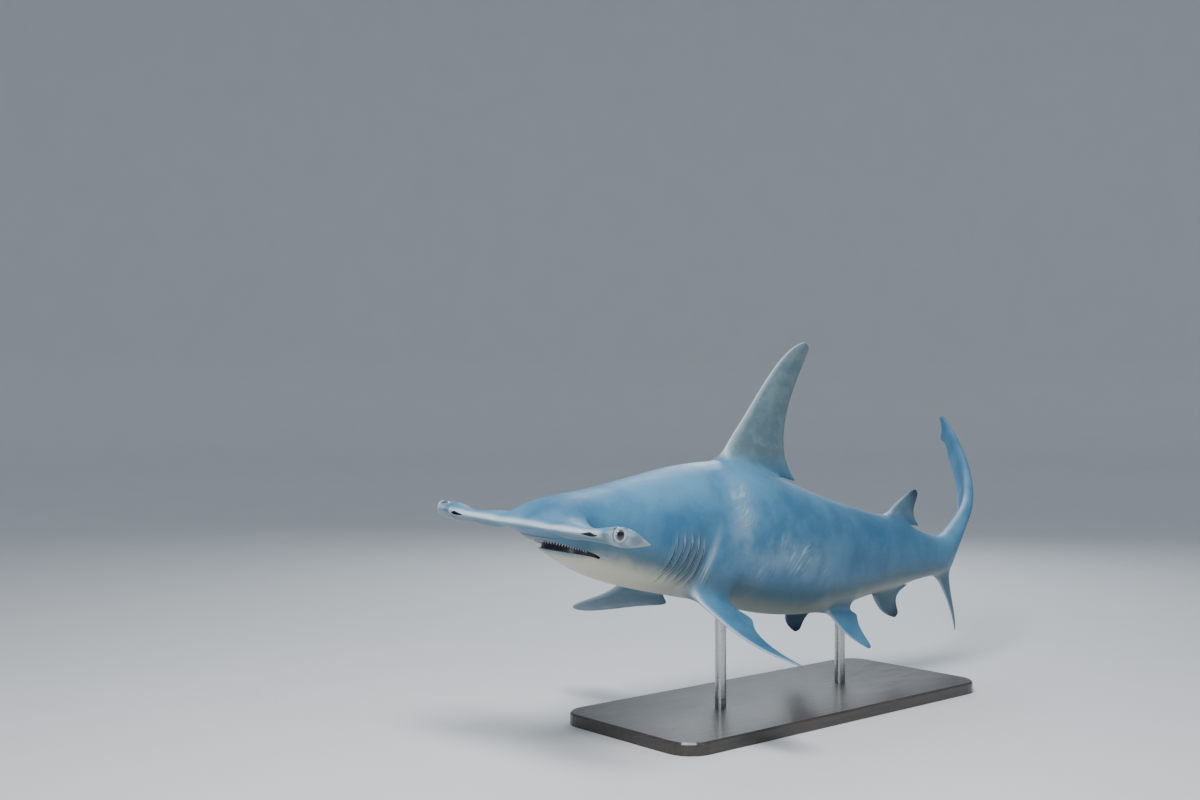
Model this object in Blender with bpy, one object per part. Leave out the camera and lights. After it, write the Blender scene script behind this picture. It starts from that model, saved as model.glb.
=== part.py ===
"""Great hammerhead shark as a life-size museum model on a plain display stand.

The animal is drawn straight first: s runs back from the snout, y to its left and z up,
in metres. bent() then lays every point along the curved spine of the swimming pose.
"""
import math

import bmesh
import bpy
import numpy as np
from mathutils import Matrix, Vector

# Whole animal and its pose
TOTAL_LENGTH = 3.0
NOSE_UP = math.radians(6.7)
LEFT_SIDE_UP = math.radians(-2.2)
POSE_STATION = 0.84
SPINE_PLACE = (0.5254, 0.0132, 0.600)
# (station, sideways bend, upward bend) of the spine, in radians for each metre
SPINE_BENDS = [
    (0.00, -0.285, -0.077),
    (0.36, -0.285, -0.077),
    (0.66, -0.117, -0.067),
    (1.08, 0.097, 0.002),
    (1.56, -0.080, 0.040),
    (2.04, 0.260, 0.059),
    (2.40, 1.775, 0.059),
    (3.00, 1.775, 0.059),
]
SPINE_STEP = 0.004
SPINE_ROOM = 0.10

# Gaps, wall rules and mesh density
TOUCH_GAP = 0.0003
SMOOTHING_LEVEL = 1
THICKEST_SHARE = 0.25
THINNING_POWER = 1.3
THINNEST_SHARE = 0.06
CHORD_SHARES = (0.07, 0.94)
RING = 16
RING_HALF = 8
SECTION_POWER = 2.25
SMOOTHING_SWELL = 1.026

# (station, back height, belly depth, half width) of the body
BODY_PROFILE = [
    (0.014, 0.014, 0.010, 0.106),
    (0.040, 0.041, 0.021, 0.111),
    (0.080, 0.067, 0.036, 0.114),
    (0.122, 0.084, 0.053, 0.113),
    (0.165, 0.097, 0.085, 0.112),
    (0.225, 0.110, 0.114, 0.115),
    (0.310, 0.131, 0.139, 0.132),
    (0.430, 0.168, 0.160, 0.156),
    (0.560, 0.207, 0.173, 0.177),
    (0.625, 0.228, 0.179, 0.184),
    (0.685, 0.242, 0.185, 0.189),
    (0.745, 0.254, 0.190, 0.194),
    (0.805, 0.264, 0.195, 0.198),
    (0.850, 0.268, 0.200, 0.200),
    (0.920, 0.268, 0.210, 0.201),
    (0.995, 0.259, 0.222, 0.199),
    (1.070, 0.246, 0.231, 0.194),
    (1.140, 0.232, 0.236, 0.187),
    (1.225, 0.215, 0.237, 0.177),
    (1.310, 0.198, 0.234, 0.165),
    (1.375, 0.187, 0.229, 0.155),
    (1.425, 0.179, 0.222, 0.148),
    (1.475, 0.172, 0.212, 0.141),
    (1.525, 0.165, 0.200, 0.134),
    (1.640, 0.152, 0.168, 0.119),
    (1.755, 0.142, 0.140, 0.103),
    (1.810, 0.135, 0.126, 0.097),
    (1.865, 0.126, 0.112, 0.090),
    (1.925, 0.114, 0.098, 0.082),
    (2.025, 0.096, 0.075, 0.071),
    (2.130, 0.089, 0.057, 0.061),
]
# (upper edge s, z, lower edge s, z, half thickness, sideways trail of the lower edge)
UPPER_LOBE = [
    (2.178, 0.103, 2.178, -0.056, 0.056, 0.000),
    (2.222, 0.132, 2.228, -0.056, 0.049, 0.001),
    (2.264, 0.160, 2.272, -0.026, 0.043, 0.008),
    (2.310, 0.191, 2.306, 0.034, 0.036, 0.022),
    (2.385, 0.234, 2.372, 0.106, 0.029, 0.042),
    (2.480, 0.293, 2.480, 0.182, 0.023, 0.050),
    (2.585, 0.386, 2.606, 0.281, 0.018, 0.041),
    (2.690, 0.484, 2.724, 0.386, 0.014, 0.024),
    (2.762, 0.557, 2.812, 0.474, 0.011, 0.010),
    (2.793, 0.587, 2.832, 0.536, 0.010, 0.003),
    (2.808, 0.601, 2.886, 0.548, 0.008, 0.000),
    (2.830, 0.623, 2.864, 0.586, 0.007, 0.000),
    (2.875, 0.666, 2.888, 0.650, 0.006, 0.000),
]
LOBE_CHORD = [0.0, 0.05, 0.17, 0.33, 0.50, 0.67, 0.83, 0.95, 1.0]
LOBE_FLESH = [0.0, 0.60, 1.00, 0.95, 0.62, 0.38, 0.24, 0.16, 0.0]
LOBE_BLEND_RINGS = 4

# Fins. Each row is (front a, rear a, front h, rear h, half thickness): a runs back along
# the body and h out along the fin, from the spine line or from the fin's own root line.
FIRST_DORSAL = [
    (0.856, 1.128, 0.296, 0.248, 0.030),
    (0.890, 1.262, 0.358, 0.224, 0.020),
    (0.936, 1.214, 0.420, 0.248, 0.017),
    (0.985, 1.158, 0.496, 0.324, 0.015),
    (1.039, 1.147, 0.576, 0.436, 0.013),
    (1.099, 1.177, 0.653, 0.552, 0.010),
    (1.160, 1.217, 0.703, 0.650, 0.007),
    (1.204, 1.242, 0.722, 0.702, 0.005),
]
SECOND_DORSAL = [
    (1.782, 1.926, 0.156, 0.126, 0.017),
    (1.806, 2.008, 0.184, 0.118, 0.010),
    (1.846, 1.956, 0.213, 0.142, 0.008),
    (1.892, 1.936, 0.243, 0.182, 0.006),
    (1.936, 1.960, 0.262, 0.240, 0.003),
]
ANAL_FIN = [
    (1.748, 1.920, 0.162, 0.112, 0.016),
    (1.770, 1.980, 0.186, 0.100, 0.010),
    (1.798, 1.914, 0.208, 0.128, 0.008),
    (1.842, 1.886, 0.228, 0.168, 0.006),
    (1.900, 1.924, 0.237, 0.214, 0.003),
]
LOWER_LOBE = [
    (2.174, 2.270, 0.075, 0.062, 0.018),
    (2.216, 2.288, 0.106, 0.092, 0.014),
    (2.286, 2.330, 0.157, 0.146, 0.010),
    (2.366, 2.400, 0.216, 0.208, 0.007),
    (2.448, 2.478, 0.272, 0.266, 0.003),
]
PECTORAL = [
    (0.632, 0.800, 0.026, 0.022, 0.026),
    (0.638, 0.848, 0.074, 0.052, 0.019),
    (0.647, 0.880, 0.138, 0.080, 0.015),
    (0.650, 0.808, 0.214, 0.150, 0.012),
    (0.658, 0.778, 0.306, 0.256, 0.009),
    (0.686, 0.766, 0.388, 0.354, 0.006),
    (0.722, 0.762, 0.436, 0.420, 0.004),
]
PECTORAL_ROOT = (0.660, 0.138, -0.152)
PECTORAL_DROOP = {"left": math.radians(33.0), "right": math.radians(30.5)}
PECTORAL_CURL = {"left": math.radians(-25.5), "right": math.radians(-23.0)}
PECTORAL_PITCH = {"left": math.tan(math.radians(9.0)), "right": math.tan(math.radians(14.0))}
PECTORAL_REACH = 0.43
PECTORAL_SWEEP = {"left": 0.0, "right": 0.060}
PELVIC = [
    (1.380, 1.512, 0.018, 0.016, 0.015),
    (1.388, 1.556, 0.054, 0.024, 0.010),
    (1.404, 1.526, 0.094, 0.060, 0.008),
    (1.446, 1.524, 0.136, 0.108, 0.005),
    (1.510, 1.542, 0.169, 0.159, 0.003),
]
PELVIC_ROOT = (1.40, 0.072, -0.198)
PELVIC_DROOP = math.radians(44.0)
PELVIC_CURL = math.radians(10.0)
PELVIC_PITCH = 0.0
PELVIC_REACH = 0.16
PELVIC_SWEEP = {"left": 0.0, "right": 0.15}

# Hammer wings: (front s, rear s, front y, rear y, half thickness, front z, rear z)
HAMMER = [
    (0.001, 0.176, 0.140, 0.140, 0.033, -0.008, 0.010),
    (-0.002, 0.158, 0.200, 0.198, 0.022, -0.008, -0.002),
    (-0.001, 0.158, 0.262, 0.254, 0.021, -0.005, -0.008),
    (0.001, 0.172, 0.304, 0.298, 0.027, 0.003, -0.010),
    (0.009, 0.188, 0.334, 0.329, 0.034, 0.006, -0.013),
    (0.031, 0.184, 0.361, 0.353, 0.028, 0.006, -0.013),
    (0.062, 0.168, 0.378, 0.371, 0.017, 0.004, -0.009),
]
# Front edge of the hammer between the wings, from the midline out: s and z at each row
FRONT_EDGE = [(0.010, -0.006), (0.002, -0.008), (0.000, -0.010), (0.000, -0.010), (0.000, -0.010)]
NOSE_DROP = [0.009, 0.005, 0.002]

# Where each fin grows: (first station, last station, middle row, row of its left or upper side)
ROOTS = {
    "first_dorsal": (0.850, 1.140, 0, 1),
    "second_dorsal": (1.755, 1.925, 0, 1),
    "anal": (1.755, 1.925, 8, 7),
    "lower_lobe": (2.130, 2.264, 8, 7),
    "left_pectoral": (0.625, 0.805, 6, 5),
    "right_pectoral": (0.625, 0.805, 10, 11),
    "left_pelvic": (1.375, 1.525, 7, 6),
    "right_pelvic": (1.375, 1.525, 9, 10),
    "left_wing": (0.014, 0.165, 4, 3),
    "right_wing": (0.014, 0.165, 12, 13),
}
EDGE_REACH = 0.025

# Mouth: a slot round the lower front of the head, open at the front and narrow at the corners
MOUTH_FRONT = (0.120, -0.0595)
MOUTH_CORNER = (0.266, 0.113, -0.086)
MOUTH_SWEEP = math.radians(88.0)
MOUTH_ROUNDING = (0.8, 0.28)
MOUTH_OPENING = (0.036, 0.005)
MOUTH_GAPE = 0.6
MOUTH_IN = (0.044, 0.018)
MOUTH_OUT = 0.060
MOUTH_BACK_SHARE = 0.6
MOUTH_STEPS = 16
TEETH = 20
TOOTH_SWEEP = math.radians(66.0)
TOOTH_SIZE = (0.0100, 0.0036, 0.0120)
TOOTH_SHRINK = 0.30
TOOTH_VARIATION = 0.08
TOOTH_RHYTHM = 5.0
GUM_SHARE = 0.85
LOWER_TOOTH_SHARE = 0.7
LOWER_SWEEP = math.radians(42.0)
TOOTH_SINK = 0.004
UPPER_INSET = (-0.010, 0.013)
LOWER_INSET = (0.034, 0.012)

# Eyes, lids and nostrils on the hammer's ends
EYE_CENTRE = (0.029, 0.346, 0.005)
EYE_RADIUS = 0.0215
EYE_TURN = math.radians(20.0)
EYE_RINGS = 8
EYE_SEGMENTS = 14
LID_OUT = 0.0140
LID_RADIUS = 0.0182
LID_THICKNESS = 0.0040
LID_SIDES = 6
NOSTRIL_PATH = [(0.006, 0.216, -0.008), (0.001, 0.244, -0.007), (0.002, 0.272, -0.005),
                (0.007, 0.292, -0.004)]
NOSTRIL_RADII = [0.002, 0.0050, 0.0075, 0.003]
GROOVE_SIDES = 6

# Gill slits on each side: (station, height) of the top of each
GILL_TOPS = [(0.526, -0.004), (0.556, 0.002), (0.585, 0.004), (0.612, 0.000), (0.638, -0.012)]
GILL_LENGTH = 0.105
GILL_FORWARD = 0.026
GILL_WIDTH = 0.0045
GILL_DEPTH = 0.013
GILL_UNDERCUT = 0.012
GILL_OUT = 0.012
GILL_END_SHARE = (0.25, 0.40)
GILL_LEAN_POWER = 1.6
GILL_STEPS = 4

# Where the body is parted, and the lines or planes along which each fin is parted from it
HEAD_END = 0.468
TRUNK_END = 1.705
STALK_END = 2.150
DORSAL_LINE = [
    (0.800, 0.284), (0.850, 0.279), (0.920, 0.276), (0.995, 0.267), (1.070, 0.253),
    (1.140, 0.237), (1.200, 0.223), (1.260, 0.212), (1.320, 0.202),
]
SECOND_DORSAL_LINE = [
    (1.720, 0.154), (1.760, 0.150), (1.810, 0.143), (1.865, 0.133), (1.925, 0.119),
    (1.970, 0.110), (2.020, 0.102), (2.060, 0.097),
]
ANAL_LINE = [
    (1.715, 0.158), (1.755, 0.148), (1.810, 0.134), (1.865, 0.119), (1.925, 0.104),
    (1.970, 0.094), (2.010, 0.086), (2.050, 0.078),
]
PECTORAL_PART = (0.560, 0.900)
PECTORAL_CUT_SLOPE = math.radians(35.0)
PECTORAL_CUT = 0.213
PELVIC_PART = (1.340, 1.620)
PELVIC_CUT_SLOPE = math.radians(60.0)
PELVIC_CUT = 0.226
BLOCK_REACH = 0.75
BLOCK_STEP = 0.05
CREST_HALF = 0.12
FLANK_HALF = 0.22
END_ROOM = 0.08
MERGE = 0.00005

# Stand: a flat board and two upright rods that end in blind sockets
BOARD_SIZE = (1.50, 0.62, 0.040)
BOARD_BEHIND = 0.36
BOARD_CORNER = 0.09
BOARD_EDGE = 0.006
BOARD_CORNER_STEPS = 6
ROD_RADIUS = 0.019
ROD_SIDES = 32
ROD_STATIONS = (0.93, 1.56)
ROD_INTO_BODY = 0.060
ROD_INTO_BOARD = 0.020

# Colour, roughness and metallic value of each material
LOOKS = {
    "hide": ((0.36, 0.43, 0.47), 0.55, 0.0),
    "fin_hide": ((0.33, 0.41, 0.46), 0.55, 0.0),
    "eye_glass": ((0.04, 0.04, 0.045), 0.08, 0.0),
    "stand_board": ((0.05, 0.045, 0.042), 0.45, 0.0),
    "stand_steel": ((0.60, 0.61, 0.62), 0.30, 1.0),
}


def clear_scene():
    for obj in list(bpy.data.objects):
        bpy.data.objects.remove(obj)


def make_material(name):
    colour, roughness, metallic = LOOKS[name]
    material = bpy.data.materials.new(name)
    material.use_nodes = True
    shader = material.node_tree.nodes["Principled BSDF"]
    shader.inputs["Base Color"].default_value = colour + (1.0,)
    shader.inputs["Roughness"].default_value = roughness
    shader.inputs["Metallic"].default_value = metallic
    return material


def build_spine():
    """Stations along the spine with turn, climb and place at each, all zero at the pose station."""
    stations = np.arange(-SPINE_ROOM, TOTAL_LENGTH + SPINE_ROOM, SPINE_STEP)
    bends = np.array(SPINE_BENDS)
    turn = np.cumsum(np.interp(stations, bends[:, 0], bends[:, 1])) * SPINE_STEP
    climb = np.cumsum(np.interp(stations, bends[:, 0], bends[:, 2])) * SPINE_STEP
    turn -= np.interp(POSE_STATION, stations, turn)
    climb -= np.interp(POSE_STATION, stations, climb)
    forward = [np.cos(turn) * np.cos(climb), np.sin(turn) * np.cos(climb), np.sin(climb)]
    place = -np.cumsum(np.stack(forward, axis=1), axis=0) * SPINE_STEP
    place -= [np.interp(POSE_STATION, stations, place[:, k]) for k in range(3)]
    return stations, turn, climb, place


SPINE = build_spine()
LEVEL = Matrix.Rotation(-NOSE_UP, 3, "Y") @ Matrix.Rotation(LEFT_SIDE_UP, 3, "X")


def frame_at(s):
    """Spine point and the forward, left and up directions at station s, in the world."""
    stations, turn, climb, place = SPINE
    a = float(np.interp(s, stations, turn))
    c = float(np.interp(s, stations, climb))
    point = Vector([float(np.interp(s, stations, place[:, k])) for k in range(3)])
    forward = Vector((math.cos(a) * math.cos(c), math.sin(a) * math.cos(c), math.sin(c)))
    left = Vector((-math.sin(a), math.cos(a), 0.0))
    up = forward.cross(left)
    return LEVEL @ point + Vector(SPINE_PLACE), LEVEL @ forward, LEVEL @ left, LEVEL @ up


def bent(point):
    """World place of a point drawn on the straight animal."""
    s, y, z = point
    origin, _, left, up = frame_at(s)
    return origin + left * y + up * z


def profile_at(s):
    """Back height, belly depth and half width of the body at station s."""
    table = np.array(BODY_PROFILE)
    return [float(np.interp(s, table[:, 0], table[:, k])) for k in (1, 2, 3)]


def mirrored_ring(left):
    """Closes a ring from its left half, whose first and last points lie on the midline."""
    ring = [(left[0][0], 0.0, left[0][2])] + left[1:-1] + [(left[-1][0], 0.0, left[-1][2])]
    return ring + [(s, -y, z) for s, y, z in reversed(left[1:-1])]


def body_ring(s, back, belly, half):
    """Ring round the body, from the back's midline down the left side and up the right."""
    left = []
    for j in range(RING_HALF + 1):
        angle = math.pi / 2 - j * math.pi / RING_HALF
        across = abs(math.cos(angle)) ** (2 / SECTION_POWER)
        rise = math.copysign(abs(math.sin(angle)) ** (2 / SECTION_POWER), math.sin(angle))
        height = back if rise > 0 else belly
        left.append((s, half * across * SMOOTHING_SWELL, height * rise * SMOOTHING_SWELL))
    return mirrored_ring(left)


def lobe_ring(upper_s, upper_z, lower_s, lower_z, half, trail, blend):
    """Ring round the tail's upper lobe; blend 0 is as round as the stalk, 1 is a thin blade."""
    left = []
    for j in range(RING_HALF + 1):
        angle = math.pi / 2 - j * math.pi / RING_HALF
        round_share = 0.5 - 0.5 * math.sin(angle)
        share = round_share + (LOBE_CHORD[j] - round_share) * blend
        flesh = math.cos(angle) + (LOBE_FLESH[j] - math.cos(angle)) * blend
        s = upper_s + share * (lower_s - upper_s)
        z = upper_z + share * (lower_z - upper_z)
        left.append((s, half * flesh, z))
    ring = mirrored_ring(left)
    shares = [min(k, RING - k) / RING_HALF for k in range(RING)]
    return [(s, y - trail * share ** 2, z) for (s, y, z), share in zip(ring, shares)]


def blade_profile(share):
    """Half thickness of a fin's section along its chord, 1 at the thickest place."""
    if share < THICKEST_SHARE:
        return math.sqrt(share / THICKEST_SHARE)
    past = (share - THICKEST_SHARE) / (1.0 - THICKEST_SHARE)
    return max(1.0 - past ** THINNING_POWER, THINNEST_SHARE)


def fin_ring(row, place, count):
    """Ring round a fin: its left or upper side to the rear edge, then the other side forward."""
    front_a, rear_a, front_h, rear_h, half = row[:5]
    first, last = CHORD_SHARES
    shares = [first + (last - first) * k / (count - 1) for k in range(count)]

    def at(share, side):
        a = front_a + share * (rear_a - front_a)
        h = front_h + share * (rear_h - front_h)
        thick = half * blade_profile(share) if side else 0.0
        return place(a, h, side * thick)

    ring = [at(share, 1) for share in shares] + [at(1.0 + EDGE_REACH, 0)]
    return ring + [at(share, -1) for share in reversed(shares)] + [at(-EDGE_REACH, 0)]


def upright(a, h, t):
    return (a, t, h)


def hanging(a, h, t):
    return (a, t, -h)


def paired(root, droop, curl, pitch, reach, sweep, side):
    """Places a paired fin: its slope goes from droop to droop plus curl, and sweep lays it back."""

    def place(a, h, t):
        share = h / reach
        slope = droop + curl * share
        mean = droop + curl * share / 2
        y = root[1] + h * math.cos(mean) + t * math.sin(slope)
        z = root[2] - h * math.sin(mean) + t * math.cos(slope) - pitch * (a - root[0])
        return (a + sweep * h, side * y, z)

    return place


def wing(row, side):
    """Places a row of the hammer's wing, which reaches out sideways and sinks to its rear."""
    front_s, rear_s, front_z, rear_z = row[0], row[1], row[5], row[6]

    def place(a, h, t):
        share = (a - front_s) / (rear_s - front_s)
        return (a, side * h, front_z + share * (rear_z - front_z) + t)

    return place


def root_of(name):
    """First and last ring of a fin's root, its middle row and the row of its first side."""
    first, last, middle, one_side = ROOTS[name]
    stations = [row[0] for row in BODY_PROFILE + UPPER_LOBE]
    return stations.index(first), stations.index(last), middle, one_side


def fin_rings():
    """Rings of every fin by name, each from the root out."""
    fins = {}
    for name, rows, place in (
        ("first_dorsal", FIRST_DORSAL, upright),
        ("second_dorsal", SECOND_DORSAL, upright),
        ("anal", ANAL_FIN, hanging),
        ("lower_lobe", LOWER_LOBE, hanging),
    ):
        fins[name] = (rows, [place] * len(rows))
    for prefix, side in (("left", 1), ("right", -1)):
        place = paired(PECTORAL_ROOT, PECTORAL_DROOP[prefix], PECTORAL_CURL[prefix],
                       PECTORAL_PITCH[prefix], PECTORAL_REACH, PECTORAL_SWEEP[prefix], side)
        fins[prefix + "_pectoral"] = (PECTORAL, [place] * len(PECTORAL))
        place = paired(PELVIC_ROOT, PELVIC_DROOP, PELVIC_CURL, PELVIC_PITCH, PELVIC_REACH,
                       PELVIC_SWEEP[prefix], side)
        fins[prefix + "_pelvic"] = (PELVIC, [place] * len(PELVIC))
        fins[prefix + "_wing"] = (HAMMER, [wing(row, side) for row in HAMMER])
    rings = {}
    for name, (rows, places) in fins.items():
        first, last = root_of(name)[:2]
        count = last - first + 1
        rings[name] = [fin_ring(row, place, count) for row, place in zip(rows, places)]
    return rings


def body_rings():
    rings = [body_ring(*row) for row in BODY_PROFILE]
    for k, row in enumerate(UPPER_LOBE):
        rings.append(lobe_ring(*row, blend=min(1.0, (k + 1) / LOBE_BLEND_RINGS)))
    for k, drop in enumerate(NOSE_DROP):
        rings[k] = [(s, y, z - drop) for s, y, z in rings[k]]
    edge = len(FRONT_EDGE) - 1
    for j in (edge, RING - edge):
        rings[0][j] = (FRONT_EDGE[edge][0], rings[0][j][1], FRONT_EDGE[edge][1])
    return rings


def cap_quads(low, high):
    """Strips between two facing rows of points that start and end on shared points."""
    faces = [(low[0], low[1], high[1])]
    for k in range(1, len(low) - 2):
        faces.append((low[k], low[k + 1], high[k + 1], high[k]))
    faces.append((low[-2], low[-1], high[-2]))
    return faces


def build_cage():
    """Control points and faces of the whole straight animal, one closed surface."""
    points, faces = [], []

    def add(ring):
        points.extend(ring)
        return list(range(len(points) - len(ring), len(points)))

    rows = [add(ring) for ring in body_rings()]
    open_faces = set()
    for name in ROOTS:
        first, last, middle, _ = root_of(name)
        for i in range(first, last):
            open_faces.update({(i, middle), (i, (middle - 1) % RING)})
    for i in range(len(rows) - 1):
        for j in range(RING):
            if (i, j) not in open_faces:
                n = (j + 1) % RING
                faces.append((rows[i][j], rows[i][n], rows[i + 1][n], rows[i + 1][j]))
    tail = rows[-1]
    faces += cap_quads(tail[: RING_HALF + 1], [tail[0]] + tail[:RING_HALF - 1:-1])

    nose = rows[0]
    middle_y = [points[nose[j]][1] for j in range(len(FRONT_EDGE))]
    edge = add([(s, y, z) for (s, z), y in zip(FRONT_EDGE[:-1], middle_y)])
    far_edge = add([(s, -y, z) for (s, z), y in zip(FRONT_EDGE[1:-1], middle_y[1:])])
    reach = len(FRONT_EDGE) - 1
    upper = [nose[-j] for j in range(reach, 0, -1)] + nose[: reach + 1]
    lower = [nose[RING_HALF + j] for j in range(reach, 0, -1)] + nose[RING_HALF : reach - 1 : -1]
    front = [nose[-reach]] + far_edge[::-1] + edge + [nose[reach]]
    faces += cap_quads(upper, front) + cap_quads(front, lower)

    for name, rings in fin_rings().items():
        first, last, middle, one_side = root_of(name)
        other_side = (2 * middle - one_side) % RING
        loop = [rows[i][one_side] for i in range(first, last + 1)] + [rows[last][middle]]
        loop += [rows[i][other_side] for i in range(last, first - 1, -1)] + [rows[first][middle]]
        for ring in rings:
            outer = add(ring)
            for k in range(len(loop)):
                n = (k + 1) % len(loop)
                faces.append((loop[k], loop[n], outer[n], outer[k]))
            loop = outer
        count = last - first + 1
        near = [loop[-1]] + loop[: count + 1]
        far = [loop[-1]] + loop[-2 : count - 1 : -1]
        faces += cap_quads(near, far)
    return points, faces


def mesh_object(name, points, faces):
    """A mesh object with its normals facing out."""
    mesh = bpy.data.meshes.new(name)
    mesh.from_pydata([tuple(p) for p in points], [], faces)
    bm = bmesh.new()
    bm.from_mesh(mesh)
    bmesh.ops.recalc_face_normals(bm, faces=bm.faces)
    bm.to_mesh(mesh)
    bm.free()
    obj = bpy.data.objects.new(name, mesh)
    bpy.context.scene.collection.objects.link(obj)
    return obj


def apply_modifiers(obj):
    bpy.context.view_layer.update()
    evaluated = obj.evaluated_get(bpy.context.evaluated_depsgraph_get())
    mesh = bpy.data.meshes.new_from_object(evaluated)
    obj.modifiers.clear()
    old = obj.data
    obj.data = mesh
    bpy.data.meshes.remove(old)
    return obj


def round_out(obj, levels):
    """Smooths a control cage into the surface it stands for."""
    modifier = obj.modifiers.new("rounding", "SUBSURF")
    modifier.levels = levels
    modifier.render_levels = levels
    return apply_modifiers(obj)


def build_whole():
    """The whole animal as one smooth closed surface in its pose."""
    points, faces = build_cage()
    whole = round_out(mesh_object("whole", points, faces), SMOOTHING_LEVEL)
    for vertex in whole.data.vertices:
        vertex.co = bent(vertex.co)
    bm = bmesh.new()
    bm.from_mesh(whole.data)
    bmesh.ops.triangulate(bm, faces=bm.faces, quad_method="SHORT_EDGE")
    bmesh.ops.recalc_face_normals(bm, faces=bm.faces)
    bm.to_mesh(whole.data)
    bm.free()
    return whole


def strip_faces(count):
    """Faces of a closed strip through a number of four-cornered sections."""
    faces = [(0, 1, 2, 3), tuple(range(4 * count - 4, 4 * count))]
    for i in range(count - 1):
        for k in range(4):
            n = (k + 1) % 4
            faces.append((4 * i + k, 4 * i + n, 4 * i + 4 + n, 4 * i + 4 + k))
    return faces


def block(name, stations, section):
    """Closed cutting block that follows the spine: one four-cornered section at each station."""
    points = [bent(corner) for s in stations for corner in section(s)]
    obj = mesh_object(name, points, strip_faces(len(stations)))
    obj.hide_render = True
    obj.display_type = "WIRE"
    return obj


def stations_between(first, last):
    count = max(2, int(round((last - first) / BLOCK_STEP)) + 1)
    return [first + (last - first) * k / (count - 1) for k in range(count)]


def span_block(name, first, last):
    """Block round everything between two stations."""
    w = BLOCK_REACH

    def section(s):
        return [(s, -w, -w), (s, w, -w), (s, w, w), (s, -w, w)]

    return block(name, stations_between(first, last), section)


def crest_block(name, line, way, gap):
    """Block over the back (way 1) or under the belly (way -1), outside a line of (s, z)."""
    lows = {s: z + gap for s, z in line}

    def section(s):
        low = way * lows[s]
        high = way * BLOCK_REACH
        return [(s, -CREST_HALF, low), (s, CREST_HALF, low), (s, CREST_HALF, high),
                (s, -CREST_HALF, high)]

    return block(name, [s for s, _ in line], section)


def flank_block(name, first, last, slope, offset, side):
    """Block beyond a plane that lies along one flank, its outward normal sloping down."""
    out_y, out_z = math.cos(slope), -math.sin(slope)

    def corner(s, out, along):
        return (s, side * (out_y * out - out_z * along), out_z * out + out_y * along)

    def section(s):
        return [corner(s, offset, -FLANK_HALF), corner(s, offset, FLANK_HALF),
                corner(s, BLOCK_REACH, FLANK_HALF), corner(s, BLOCK_REACH, -FLANK_HALF)]

    return block(name, stations_between(first, last), section)


def add_cut(obj, operation, tool):
    modifier = obj.modifiers.new(operation.lower(), "BOOLEAN")
    modifier.operation = operation
    modifier.solver = "EXACT"
    modifier.object = tool


def shell_parts(bm):
    """Connected groups of vertices, largest first."""
    left = set(bm.verts)
    groups = []
    while left:
        start = left.pop()
        group, stack = {start}, [start]
        while stack:
            for edge in stack.pop().link_edges:
                for vertex in edge.verts:
                    if vertex in left:
                        left.discard(vertex)
                        group.add(vertex)
                        stack.append(vertex)
        groups.append(group)
    return sorted(groups, key=len, reverse=True)


def tidy(obj):
    """Keeps the one largest closed surface and joins points closer than the merge threshold."""
    bm = bmesh.new()
    bm.from_mesh(obj.data)
    bmesh.ops.remove_doubles(bm, verts=bm.verts, dist=MERGE)
    for group in shell_parts(bm)[1:]:
        bmesh.ops.delete(bm, geom=list(group), context="VERTS")
    bmesh.ops.triangulate(bm, faces=bm.faces)
    bm.to_mesh(obj.data)
    bm.free()
    return obj


def carve(name, source, keep, drop=()):
    """A node cut from a source mesh: inside every keep block, outside every drop shape."""
    obj = source.copy()
    obj.data = source.data.copy()
    obj.name = name
    obj.hide_render = False
    obj.display_type = "TEXTURED"
    bpy.context.scene.collection.objects.link(obj)
    for tool in keep:
        add_cut(obj, "INTERSECT", tool)
    for tool in drop:
        add_cut(obj, "DIFFERENCE", tool)
    return tidy(apply_modifiers(obj))


def fin_blocks(gap):
    """Blocks round the fins, their inner faces moved out by the gap."""
    blocks = {
        "first_dorsal_fin": crest_block("dorsal_1", DORSAL_LINE, 1, gap),
        "second_dorsal_fin": crest_block("dorsal_2", SECOND_DORSAL_LINE, 1, gap),
        "anal_fin": crest_block("anal", ANAL_LINE, -1, gap),
    }
    for prefix, side in (("left", 1), ("right", -1)):
        blocks[prefix + "_pectoral_fin"] = flank_block(
            prefix + "_pectoral", *PECTORAL_PART, PECTORAL_CUT_SLOPE, PECTORAL_CUT + gap, side
        )
        blocks[prefix + "_pelvic_fin"] = flank_block(
            prefix + "_pelvic", *PELVIC_PART, PELVIC_CUT_SLOPE, PELVIC_CUT + gap, side
        )
    return blocks


def build_flesh(whole):
    """Head, torso, tail and fins as nodes of their own with thin gaps between them."""
    inner = fin_blocks(0.0)
    outer = fin_blocks(TOUCH_GAP)
    half = TOUCH_GAP / 2
    nodes = {}
    for name in inner:
        nodes[name] = carve(name, whole, [outer[name]])
    spans = {
        "head": (-END_ROOM, HEAD_END - half),
        "torso": (HEAD_END + half, TRUNK_END - half),
        "tail_stalk": (TRUNK_END + half, STALK_END - half),
        "tail_fin": (STALK_END + half, TOTAL_LENGTH + END_ROOM),
    }
    own_fins = {
        "torso": ["first_dorsal_fin", "left_pectoral_fin", "right_pectoral_fin",
                  "left_pelvic_fin", "right_pelvic_fin"],
        "tail_stalk": ["second_dorsal_fin", "anal_fin"],
    }
    for name, (first, last) in spans.items():
        keep = [span_block(name + "_span", first, last)]
        nodes[name] = carve(name, whole, keep, [inner[fin] for fin in own_fins.get(name, [])])
    return nodes


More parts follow.
